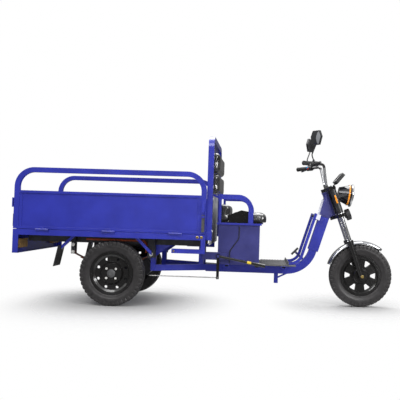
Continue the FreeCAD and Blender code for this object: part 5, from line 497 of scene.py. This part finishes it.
def leaf(centre, ahead, count):
    """One half leaf of the pack, the count-th from the top."""
    full = math.asin(SPRING_REACH / SPRING_RADIUS) * LEAF_SHARES[count]
    low = SPRING_RADIUS + count * LEAF_PITCH + 0.0002
    points = []
    for step in range(LEAF_STEPS + 1):
        angle = ahead * full * step / LEAF_STEPS
        spoke = Vector((math.sin(angle), 0, -math.cos(angle)))
        taper = 1.0 if step < LEAF_STEPS - 1 or count == 0 else 0.82
        for side, section in ((1, LEAF_SECTION), (-1, LEAF_SECTION[::-1])):
            for share, wide in section:
                across = Y * side * LEAF_HALF * wide * taper
                points.append(centre + spoke * (low + LEAF_THICK * share) + across)
    ring = 2 * len(LEAF_SECTION)
    last = LEAF_STEPS * ring
    return points, bands(LEAF_STEPS + 1, ring) + [tuple(range(ring)), tuple(range(last, last + ring))]


def leaf_half(name, side, ahead):
    """Front or rear half of a spring: its leaves and the eye at its end."""
    centre = Vector((SPRING_X, side * SPRING_Y, SPRING_CENTRE_Z))
    shapes = [leaf(centre, ahead, count) for count in range(len(LEAF_SHARES))]
    end = Vector((EYE_FRONT if ahead > 0 else EYE_REAR, side * SPRING_Y, EYE_Z))
    wall = [(-LEAF_HALF, EYE_BORE), (-LEAF_HALF, EYE_RADIUS), (LEAF_HALF, EYE_RADIUS), (LEAF_HALF, EYE_BORE)]
    shapes.append(turned(wall, end, Y, 32, True))
    vertices, faces = gather(shapes)
    obj = piece(name, vertices, faces, PRIMER, None)
    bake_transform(obj)
    return obj


for side_name, sign in (("right", -1), ("left", 1)):
    for end_name, way in (("front", 1), ("rear", -1)):
        half = leaf_half("leaf_pack_%s_%s" % (side_name, end_name), sign, way)
        if sign < 0 and way > 0:
            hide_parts("leaf_springs")


# Cushions


WELD, VOXEL, CAP = 0.00005, 0.006, 0.004
PRESSURE, STIFFNESS, BENDING, LAST_FRAME = 4.0, 25.0, 0.4, 20


def cushion(node, body, flat_axis, flat_at):
    """Stuffed pad: a cloth skin blown up over the CAD pad's shape, held along its flat back."""
    source = NODES[node]
    mesh = source.data.copy()
    obj = bpy.data.objects.new(node + "_stuffed", mesh)
    SCENE.collection.objects.link(obj)
    mesh.materials.clear()
    weld = bmesh.new()
    weld.from_mesh(mesh)
    bmesh.ops.remove_doubles(weld, verts=weld.verts, dist=WELD)
    weld.to_mesh(mesh)
    weld.free()
    remesh = obj.modifiers.new("remesh", "REMESH")
    remesh.mode = "VOXEL"
    remesh.voxel_size = VOXEL
    bake(obj)
    rest = [v.co.copy() for v in obj.data.vertices]
    group = obj.vertex_groups.new(name="held")
    held = [v.index for v in obj.data.vertices if abs(v.co[flat_axis] - flat_at) < VOXEL]
    group.add(held, 1.0, "REPLACE")
    cloth = obj.modifiers.new("cloth", "CLOTH")
    cloth.settings.quality = 5
    cloth.settings.use_pressure = True
    cloth.settings.uniform_pressure_force = PRESSURE
    cloth.settings.tension_stiffness = STIFFNESS
    cloth.settings.compression_stiffness = STIFFNESS
    cloth.settings.bending_stiffness = BENDING
    cloth.settings.effector_weights.gravity = 0.0
    cloth.settings.vertex_group_mass = "held"
    cloth.point_cache.frame_start = 1
    cloth.point_cache.frame_end = LAST_FRAME
    for moment in range(1, LAST_FRAME + 1):
        SCENE.frame_set(moment)
    bake(obj)
    SCENE.frame_set(1)
    for vertex, start in zip(obj.data.vertices, rest):
        shift = vertex.co - start
        if shift.length > CAP:
            vertex.co = start + shift.normalized() * CAP
    smooth = obj.modifiers.new("smooth", "SMOOTH")
    smooth.factor = 0.5
    smooth.iterations = 6
    fine = obj.modifiers.new("fine", "SUBSURF")
    fine.levels = 1
    fine.render_levels = 1
    bake(obj)
    obj.data.materials.append(VINYL)
    for face in obj.data.polygons:
        face.use_smooth = True
    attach(obj, body)
    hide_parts(node)


def bake(obj):
    """Replaces an object's mesh with what its modifiers make of it."""
    bpy.context.view_layer.update()
    seen = obj.evaluated_get(bpy.context.evaluated_depsgraph_get())
    mesh = bpy.data.meshes.new_from_object(seen)
    old = obj.data
    obj.modifiers.clear()
    obj.data = mesh
    bpy.data.meshes.remove(old)


cushion("back_pad_upper", "chassis", 0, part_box("back_pad_upper")[0][0])
cushion("back_pad_lower", "chassis", 0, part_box("back_pad_lower")[0][0])
cushion("seat_cushion", "seat", 2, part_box("seat_cushion")[0][2])
cushion("seat_low_back", "seat", 0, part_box("seat_low_back")[0][0])


# Finishes of single faces of CAD nodes


BRIDGE_FOOT = Vector((0.9032, 0, 0.7188))
BRIDGE_UP = Vector((0.0136, 0, 0.0439)).normalized()


def on_bearing(c):
    """Upper or lower bearing of the headset."""
    ahead, rise = fork_axes(c)
    return rise > 0.7496 or rise < 0.5604 and abs(ahead + 0.058) < 0.0295


def on_side_lens(c):
    """Lens on the outer side of a fork cover."""
    ahead, rise = fork_axes(c)
    return abs(c[1]) > 0.1125 and abs(ahead) < 0.0062 and rise < 0.7125


dress("head_tube", (BRASS, on_bearing))
dress("leg_guard", (PALE_PAINT, lambda c: (c - BRIDGE_FOOT).dot(BRIDGE_UP) > -0.0005),
      (PLASTIC, lambda c: abs(c[1]) < 0.0092))
dress("fork_sliders", (BRASS, lambda c: abs(c[1]) > 0.1119 and (c - FRONT_AXLE).xz.length < 0.02))
dress("fork_covers", (AMBER, on_side_lens))
dress("tail_lamps", (RED, lambda c: c[0] < BED_REAR))
dress("cables", (CONDUIT, lambda c: c[0] < -0.3))
dress("headboard_panels", (DEEP_BLUE_AND_SHADE, lambda c: c[2] > 1.2))
dress("subframe", (MAT, lambda c: 0.3415 < c[2] < 0.3465 and abs(c[1]) < 0.2801 and c[0] > 0.41))
dress("seat_box", (BLUE, lambda c: c[2] > 0.6615))
for wheel in ("rear_wheel_right", "rear_wheel_left"):
    dress(wheel, (ZINC, lambda c: abs(c[1]) > 0.4372 and 0.035 < (c - REAR_WHEEL).xz.length < 0.068),
          (DARK_GREY, lambda c: abs(c[1]) > 0.4372 and (c - REAR_WHEEL).xz.length <= 0.035))
dress("bed_brackets", (BRASS, lambda c: abs(c[1]) > 0.4999 and c[0] < BED_FRONT - 0.23))
dress("handlebar", (BLACK, lambda c: fork_axes(c)[1] > 0.955))
dress("brake_pedal", (RUBBER, lambda c: abs(c[1] + 0.096) > 0.0062))


# Lamp, mirrors, display and small fittings


LAMP_U, LAMP_W, LAMP_TILT = 0.046, 0.716, math.radians(28)
LAMP_BACK = fork_place(LAMP_U, 0, LAMP_W)
LAMP_AXIS = fork_place(LAMP_U + math.cos(LAMP_TILT), 0, LAMP_W - math.sin(LAMP_TILT)) - LAMP_BACK
BAR_END = Vector((-0.184, 0.332, 1.036))
BAR_KNEE = Vector((-0.008, 0.128, 0.982))
BAR_INWARD = (BAR_KNEE - BAR_END).normalized()
POD = BAR_END + BAR_INWARD * 0.149
POD_BACK = Vector((-abs(BAR_INWARD.y), -BAR_INWARD.x, 0)).normalized()
MIRROR_TOP = POD + Vector((0.072, 0.044, 0.165))
MIRROR_HALF, MIRROR_INSET, MIRROR_TURN = 0.058, 0.88, 42.0


def on_bar(place, side):
    """Place on the tricycle of a point given in the fork's axes for the left half of the bar."""
    return fork_place(place.x, side * place.y, place.z)


def lamp_parts():
    ring = [(0.1185, 0.0800), (0.1165, 0.0945), (0.1120, 0.0962), (0.1040, 0.0950), (0.1040, 0.0941),
            (0.1181, 0.0941), (0.1181, 0.0800)]
    vertices, faces = turned(ring, LAMP_BACK, LAMP_AXIS, 72, True)
    piece("headlight_ring", vertices, faces, CHROME, "steering")
    bowl = []
    for step in range(13):
        share = step / 12
        bowl.append((0.022 + 0.082 * share ** 2, 0.012 + 0.066 * share))
    bowl += [(reach + 0.0012, radius + 0.0006) for reach, radius in bowl[::-1]]
    vertices, faces = turned(bowl, LAMP_BACK, LAMP_AXIS, 64, True)
    piece("headlight_reflector", vertices, faces, CHROME, "steering")
    bulb = [(0.024, 0.0001), (0.024, 0.010), (0.050, 0.010), (0.060, 0.0085), (0.066, 0.005), (0.068, 0.0001)]
    vertices, faces = turned(bulb, LAMP_BACK, LAMP_AXIS, 28)
    piece("headlight_bulb", vertices, faces, PALE, "steering")
    band = [(0.0800, 0.0845), (0.0800, 0.0868), (0.0860, 0.0875), (0.0920, 0.0868), (0.0920, 0.0845)]
    vertices, faces = turned(band, LAMP_BACK, LAMP_AXIS, 72, True)
    piece("headlight_band", vertices, faces, AMBER, "steering")


def mirror_glass(side, body):
    """Glass on the rear of a mirror head, a little inside its edge."""
    turn = math.radians(-MIRROR_TURN * side)
    back = Vector((-math.cos(turn), -math.sin(turn), 0))
    across = Vector((-math.sin(turn), math.cos(turn), 0))
    centre = on_bar(MIRROR_TOP, side) + Vector((-0.013, 0, 0.029))
    outline = [(-0.62, -1), (0.62, -1), (1, 0.15), (0.62, 1), (-0.62, 1), (-1, 0.15)]
    rim = []
    for (wide, tall), (next_wide, next_tall) in zip(outline, outline[1:] + outline[:1]):
        for step in range(4):
            share = step / 4
            rim.append((wide + (next_wide - wide) * share, tall + (next_tall - tall) * share))
    count = len(rim)
    rows = [(MIRROR_INSET, 0.0001)]
    for step in range(10):
        inward = 1 - step / 10
        rows.append((MIRROR_INSET * inward, 0.0006 + 0.0020 * (1 - inward ** 2)))
    vertices = []
    for share, out in rows:
        for wide, tall in rim:
            vertices.append(centre + back * out + across * wide * MIRROR_HALF * share
                            + Z * tall * MIRROR_HALF * share)
    faces = bands(len(rows), count)
    faces += [tuple(range(count)), tuple(range((len(rows) - 1) * count, len(rows) * count))]
    piece(body + "_glass", vertices, faces, MIRROR, body, 50.0)


def grip_ribs(side, body):
    """Ribbed sleeve and end flange over a grip."""
    end = on_bar(BAR_END, side)
    axis = on_bar(BAR_KNEE, side) - end
    profile = [(0.0004, 0.0166), (0.0004, 0.0190), (0.004, 0.0196), (0.007, 0.0178)]
    step = 0.0
    while step < 0.100:
        at = 0.009 + step
        profile += [(at, 0.0173), (at + 0.0008, 0.0181), (at + 0.0026, 0.0181), (at + 0.0034, 0.0173)]
        step += 0.0046
    profile += [(0.1206, 0.0180), (0.1206, 0.0166)]
    vertices, faces = turned(profile, end, axis, 40, True)
    piece("grip_ribs_" + ("left" if side > 0 else "right"), vertices, faces, RUBBER, body, 25.0)
    cap = [(-0.006, 0.0001), (-0.006, 0.012), (-0.004, 0.0150), (-0.0002, 0.0158), (-0.0002, 0.0001)]
    vertices, faces = turned(cap, end, axis, 36)
    piece("grip_end_" + ("left" if side > 0 else "right"), vertices, faces, RUBBER, body)


def pod_knobs():
    """Rocker and slider on the switch pods."""
    for name, side, material, rise in (("stop_knob", -1, RED, 0.000), ("turn_knob", 1, SKY, 0.013)):
        back = (on_bar(POD + POD_BACK, side) - on_bar(POD, side)).normalized()
        face = on_bar(POD, side) + back * 0.023 + Z * rise
        along = back.cross(Z).normalized()
        if name == "turn_knob":
            face = face + along * 0.016 - back * 0.002
        axes = (back, along, back.cross(along))
        vertices, faces = block(face + back * 0.003, (0.004, 0.009, 0.006), axes, 0.002)
        piece(name, vertices, faces, material, "steering")


def display_parts():
    slope = math.radians(51.0)
    along = Vector((math.cos(slope), 0, math.sin(slope)))
    out = Vector((-math.sin(slope), 0, math.cos(slope)))
    base = fork_place(0.048, 0, 0.806)
    face = base + along * 0.052 + out * 0.0152
    vertices, faces = block(face + out * 0.0012, (0.0010, 0.070, 0.050), (out, Y, out.cross(Y)), 0.006)
    piece("display_bezel", vertices, faces, PALE, "steering")
    vertices, faces = block(face + out * 0.0030, (0.0007, 0.062, 0.042), (out, Y, out.cross(Y)), 0.006)
    piece("display_glass", vertices, faces, GLOSS, "steering")
    shapes = []
    for count in range(3):
        at = face + along * (-0.022 + 0.022 * count) + out * 0.0042
        shapes.append(block(at, (0.0004, 0.040, 0.004 + 0.003 * (count == 1)), (out, Y, out.cross(Y)), 0.001))
    vertices, faces = gather(shapes)
    piece("display_segments", vertices, faces, PACK, "steering")


def horn_face():
    """Rings and hub on the front of the horn."""
    centre = fork_place(0.084, 0, 0.521)
    axis = fork_place(1.084, 0, 0.521) - centre
    profile = [(0.0003, 0.0001), (0.0003, 0.0479), (0.003, 0.0470), (0.004, 0.040), (0.001, 0.038),
               (0.001, 0.034), (0.004, 0.032), (0.004, 0.026), (0.001, 0.024), (0.001, 0.018), (0.006, 0.012),
               (0.007, 0.0001)]
    vertices, faces = turned(profile, centre, axis, 56)
    piece("horn_rings", vertices, faces, PLASTIC, "steering")


def bolts(name, places, axis, size, material, body):
    """Hexagon bolt heads with washers."""
    shapes = []
    for place in places:
        shapes.append(turned([(0.0001, size * 1.45), (size * 0.25, size * 1.45)], place, axis, 24))
        head = [(size * 0.25, size), (size * 0.95, size), (size * 1.05, size * 0.85)]
        shapes.append(turned(head, place, axis, 6))
    vertices, faces = gather(shapes)
    piece(name, vertices, faces, material, body, 25.0)


def buttons(name, places, axis, radius, material, body):
    """Low round bolt heads."""
    profile = [(0.0001, radius), (0.0010, radius), (0.0020, radius * 0.8), (0.0025, radius * 0.4)]
    vertices, faces = gather([turned(profile, place, axis, 28) for place in places])
    piece(name, vertices, faces, material, body, 25.0)


def tail_lenses():
    """Two lenses, stop and turn, on the face of each tail lamp, with moulded ribs."""
    for side_name, side in (("right", -1), ("left", 1)):
        for word, material, shift, half in (("stop", RED, 0.030, 0.042), ("turn", AMBER, -0.040, 0.026)):
            shapes = []
            middle = Vector((BED_REAR - 0.0046, side * (0.360 - shift), 0.468))
            shapes.append(block(middle, (0.0015, half, 0.032), (X, Y, Z), 0.004))
            ribs = int(half / 0.006)
            for k in range(ribs):
                at = middle + Y * (-half + half * 2 * (k + 0.5) / ribs) - X * 0.0018
                shapes.append(block(at, (0.0006, 0.002, 0.028), (X, Y, Z), 0.0008))
            vertices, faces = gather(shapes)
            piece("tail_%s_lens_%s" % (word, side_name), vertices, faces, material, "chassis")


lamp_parts()
mirror_glass(-1, "rear_view_right")
mirror_glass(1, "rear_view_left")
grip_ribs(-1, "throttle")
grip_ribs(1, "steering")
pod_knobs()
display_parts()
horn_face()
tail_lenses()

SILL_BOLTS = [(BED_FRONT - 0.062, -0.5, 0.560), (BED_FRONT - 0.030, -0.5, 0.560)]
buttons("sill_bolts_right", SILL_BOLTS, -Y, 0.0115, BRASS, "chassis")
buttons("sill_bolts_left", [(x, -y, z) for x, y, z in SILL_BOLTS], Y, 0.0115, BRASS, "chassis")
HEAD_BOLTS = [(BED_FRONT + 0.045, side * 0.44, z) for side in (-1, 1) for z in (0.61, 0.86)]
bolts("headboard_bolts", HEAD_BOLTS, X, 0.007, ZINC, "chassis")
SIDE_PIN = [(x, -0.3484, z) for x, z in ((EYE_FRONT, EYE_Z), (EYE_REAR, EYE_Z), (EYE_REAR, SHACKLE_Z))]
bolts("spring_bolts_right", SIDE_PIN, -Y, 0.010, ZINC, "chassis")
bolts("spring_bolts_left", [(x, -y, z) for x, y, z in SIDE_PIN], Y, 0.010, ZINC, "chassis")
CROWN_TOPS = [fork_place(0, side * 0.088, 0.790) for side in (-1, 1)]
bolts("fork_caps", CROWN_TOPS, fork_place(0, 0, 1) - fork_place(0, 0, 0), 0.011, CHROME, "steering")
PARK_TIP = Vector((BED_FRONT + 0.463, -0.320, 0.343))
PARK_AXIS = Vector((-0.372, 0, 0.066)).normalized()
PARK_BAND = [(0.108, 0.0101), (0.108, 0.0112), (0.140, 0.0112), (0.140, 0.0101)]
BAND_VERTICES, BAND_FACES = turned(PARK_BAND, PARK_TIP, PARK_AXIS, 36, True)
piece("parking_band", BAND_VERTICES, BAND_FACES, YELLOW, "parking_brake")


# Floor, light and camera


def shadow_pool(tree, centre, scale, reach):
    """Painted shadow pool: the grey floor round a place, which fades out to the white backdrop with distance
    from it.
    """
    place = tree.nodes.new("ShaderNodeTexCoord")
    squeeze = tree.nodes.new("ShaderNodeMapping")
    squeeze.inputs["Location"].default_value = (-centre[0] * scale[0], -centre[1] * scale[1], 0.0)
    squeeze.inputs["Scale"].default_value = (scale[0], scale[1], 1.0)
    distance = tree.nodes.new("ShaderNodeVectorMath")
    distance.operation = "LENGTH"
    fade = tree.nodes.new("ShaderNodeMapRange")
    fade.interpolation_type = "SMOOTHSTEP"
    fade.inputs["From Min"].default_value = reach[0]
    fade.inputs["From Max"].default_value = reach[1]
    fade.inputs["To Min"].default_value = 1.0
    fade.inputs["To Max"].default_value = 0.0
    tree.links.new(place.outputs["Object"], squeeze.inputs["Vector"])
    tree.links.new(squeeze.outputs["Vector"], distance.inputs[0])
    tree.links.new(distance.outputs["Value"], fade.inputs["Value"])
    return fade.outputs["Result"]


def floor_material():
    """Grey floor with painted shadow pools round the wheels, fading out to the white backdrop away from them;
    the lamps' real shadows darken it inside the pools.
    """
    material, tree, surface = shader("floor_painted_shadow_pools")
    wide = noise(tree, 0.6, 3.0)
    tree.links.new(ramp(tree, wide, (0.44, 0.44, 0.44), (0.47, 0.47, 0.47)), surface.inputs["Base Color"])
    surface.inputs["Roughness"].default_value = 0.7
    surface.inputs["Specular IOR Level"].default_value = 0.05
    # painted shadow pools round the rear wheels and round the front wheel, with the lamps' real shadows
    # inside them
    rear = shadow_pool(tree, (REAR_AXLE_X, -0.2), (1.0, 0.75), (0.10, 1.05))
    front = shadow_pool(tree, (FRONT_AXLE.x - 0.06, 0.0), (1.0, 0.75), (0.05, 0.75))
    both = tree.nodes.new("ShaderNodeMath")
    both.operation = "MAXIMUM"
    tree.links.new(rear, both.inputs[0])
    tree.links.new(front, both.inputs[1])
    tree.links.new(both.outputs["Value"], surface.inputs["Alpha"])
    return material


FLOOR_HALF = 30
SKY_LEVELS = ((0.0, 0.55), (0.48, 0.10), (0.62, 0.16), (0.8, 0.85))


def studio():
    """Floor, and a world that is white to the camera and graded in reflections."""
    vertices = [(-FLOOR_HALF, -FLOOR_HALF, 0), (FLOOR_HALF, -FLOOR_HALF, 0), (FLOOR_HALF, FLOOR_HALF, 0),
                (-FLOOR_HALF, FLOOR_HALF, 0)]
    mesh = bpy.data.meshes.new("floor")
    mesh.from_pydata(vertices, [], [(0, 1, 2, 3)])
    floor = bpy.data.objects.new("floor", mesh)
    SCENE.collection.objects.link(floor)
    mesh.materials.append(floor_material())
    world = bpy.data.worlds.new("studio")
    SCENE.world = world
    world.use_nodes = True
    tree = world.node_tree
    background = tree.nodes["Background"]
    place = tree.nodes.new("ShaderNodeTexCoord")
    split = tree.nodes.new("ShaderNodeSeparateXYZ")
    sky = tree.nodes.new("ShaderNodeValToRGB")
    for position, level in SKY_LEVELS:
        stop = sky.color_ramp.elements.new(position) if position else sky.color_ramp.elements[0]
        stop.color = (level, level, level, 1.0)
    sky.color_ramp.elements[-1].color = (0.9, 0.9, 0.92, 1.0)
    half = tree.nodes.new("ShaderNodeMapRange")
    half.inputs["From Min"].default_value = -1.0
    tree.links.new(place.outputs["Generated"], split.inputs["Vector"])
    tree.links.new(split.outputs["Z"], half.inputs["Value"])
    tree.links.new(half.outputs["Result"], sky.inputs["Fac"])
    path = tree.nodes.new("ShaderNodeLightPath")
    choose = tree.nodes.new("ShaderNodeMix")
    choose.data_type = "RGBA"
    choose.inputs[7].default_value = (1.0, 1.0, 1.0, 1.0)
    tree.links.new(path.outputs["Is Camera Ray"], choose.inputs[0])
    tree.links.new(sky.outputs["Color"], choose.inputs[6])
    tree.links.new(choose.outputs[2], background.inputs["Color"])


def softbox(name, place, aim, size, power, seen=True):
    """Area light aimed at a place; an unseen one leaves no reflection."""
    lamp = bpy.data.lights.new(name, "AREA")
    lamp.shape = "RECTANGLE"
    lamp.size, lamp.size_y = size
    lamp.energy = power
    obj = bpy.data.objects.new(name, lamp)
    SCENE.collection.objects.link(obj)
    obj.location = place
    obj.rotation_euler = (Vector(aim) - Vector(place)).to_track_quat("-Z", "Y").to_euler()
    obj.visible_glossy = seen


CAMERA_PLACE = (BED_FRONT + 0.3953, -4.8611, 0.7418)
CAMERA_TURN = (-1.801, 1.528, 1.788)
CAMERA_LENS, CAMERA_SHIFT = 51.122, -0.10


def camera():
    """Camera at the photograph's place, turned by yaw, pitch and roll."""
    data = bpy.data.cameras.new("photo")
    data.sensor_width = 36.0
    data.lens = CAMERA_LENS
    data.shift_x = CAMERA_SHIFT
    obj = bpy.data.objects.new("photo", data)
    SCENE.collection.objects.link(obj)
    yaw, pitch, roll = (math.radians(angle) for angle in CAMERA_TURN)
    look = Vector((math.sin(yaw) * math.cos(pitch), math.cos(yaw) * math.cos(pitch), math.sin(pitch)))
    right = look.cross(Z).normalized()
    up = right.cross(look)
    rolled_right = right * math.cos(roll) + up * math.sin(roll)
    rolled_up = up * math.cos(roll) - right * math.sin(roll)
    turn = Matrix((rolled_right, rolled_up, -look)).transposed().to_4x4()
    obj.matrix_world = Matrix.Translation(CAMERA_PLACE) @ turn
    SCENE.camera = obj


studio()
softbox("front", (0.2, -5.6, 0.6), (0.2, 0, 0.6), (5.0, 1.2), 130.0, False)
softbox("key", (-1.5, -3.6, 3.6), (0.2, 0, 0.6), (3.0, 2.0), 90.0)
softbox("fill", (3.2, -3.2, 2.2), (0.4, 0, 0.6), (1.6, 1.6), 110.0)
softbox("top", (-0.2, 1.0, 4.0), (-0.2, 0, 0.4), (4.5, 3.0), 240.0)
softbox("strip_rear", (-4.6, -3.4, 0.9), (-0.7, -0.4, 0.4), (0.5, 1.8), 7.0)
softbox("strip_front", (2.6, -4.2, 0.6), (1.1, 0, 0.6), (0.4, 1.6), 4.0)
softbox("rear", (-4.5, -1.1, 2.1), (0.8, -0.2, 1.3), (1.6, 1.2), 4.5)
camera()
SCENE.view_settings.view_transform = "Standard"
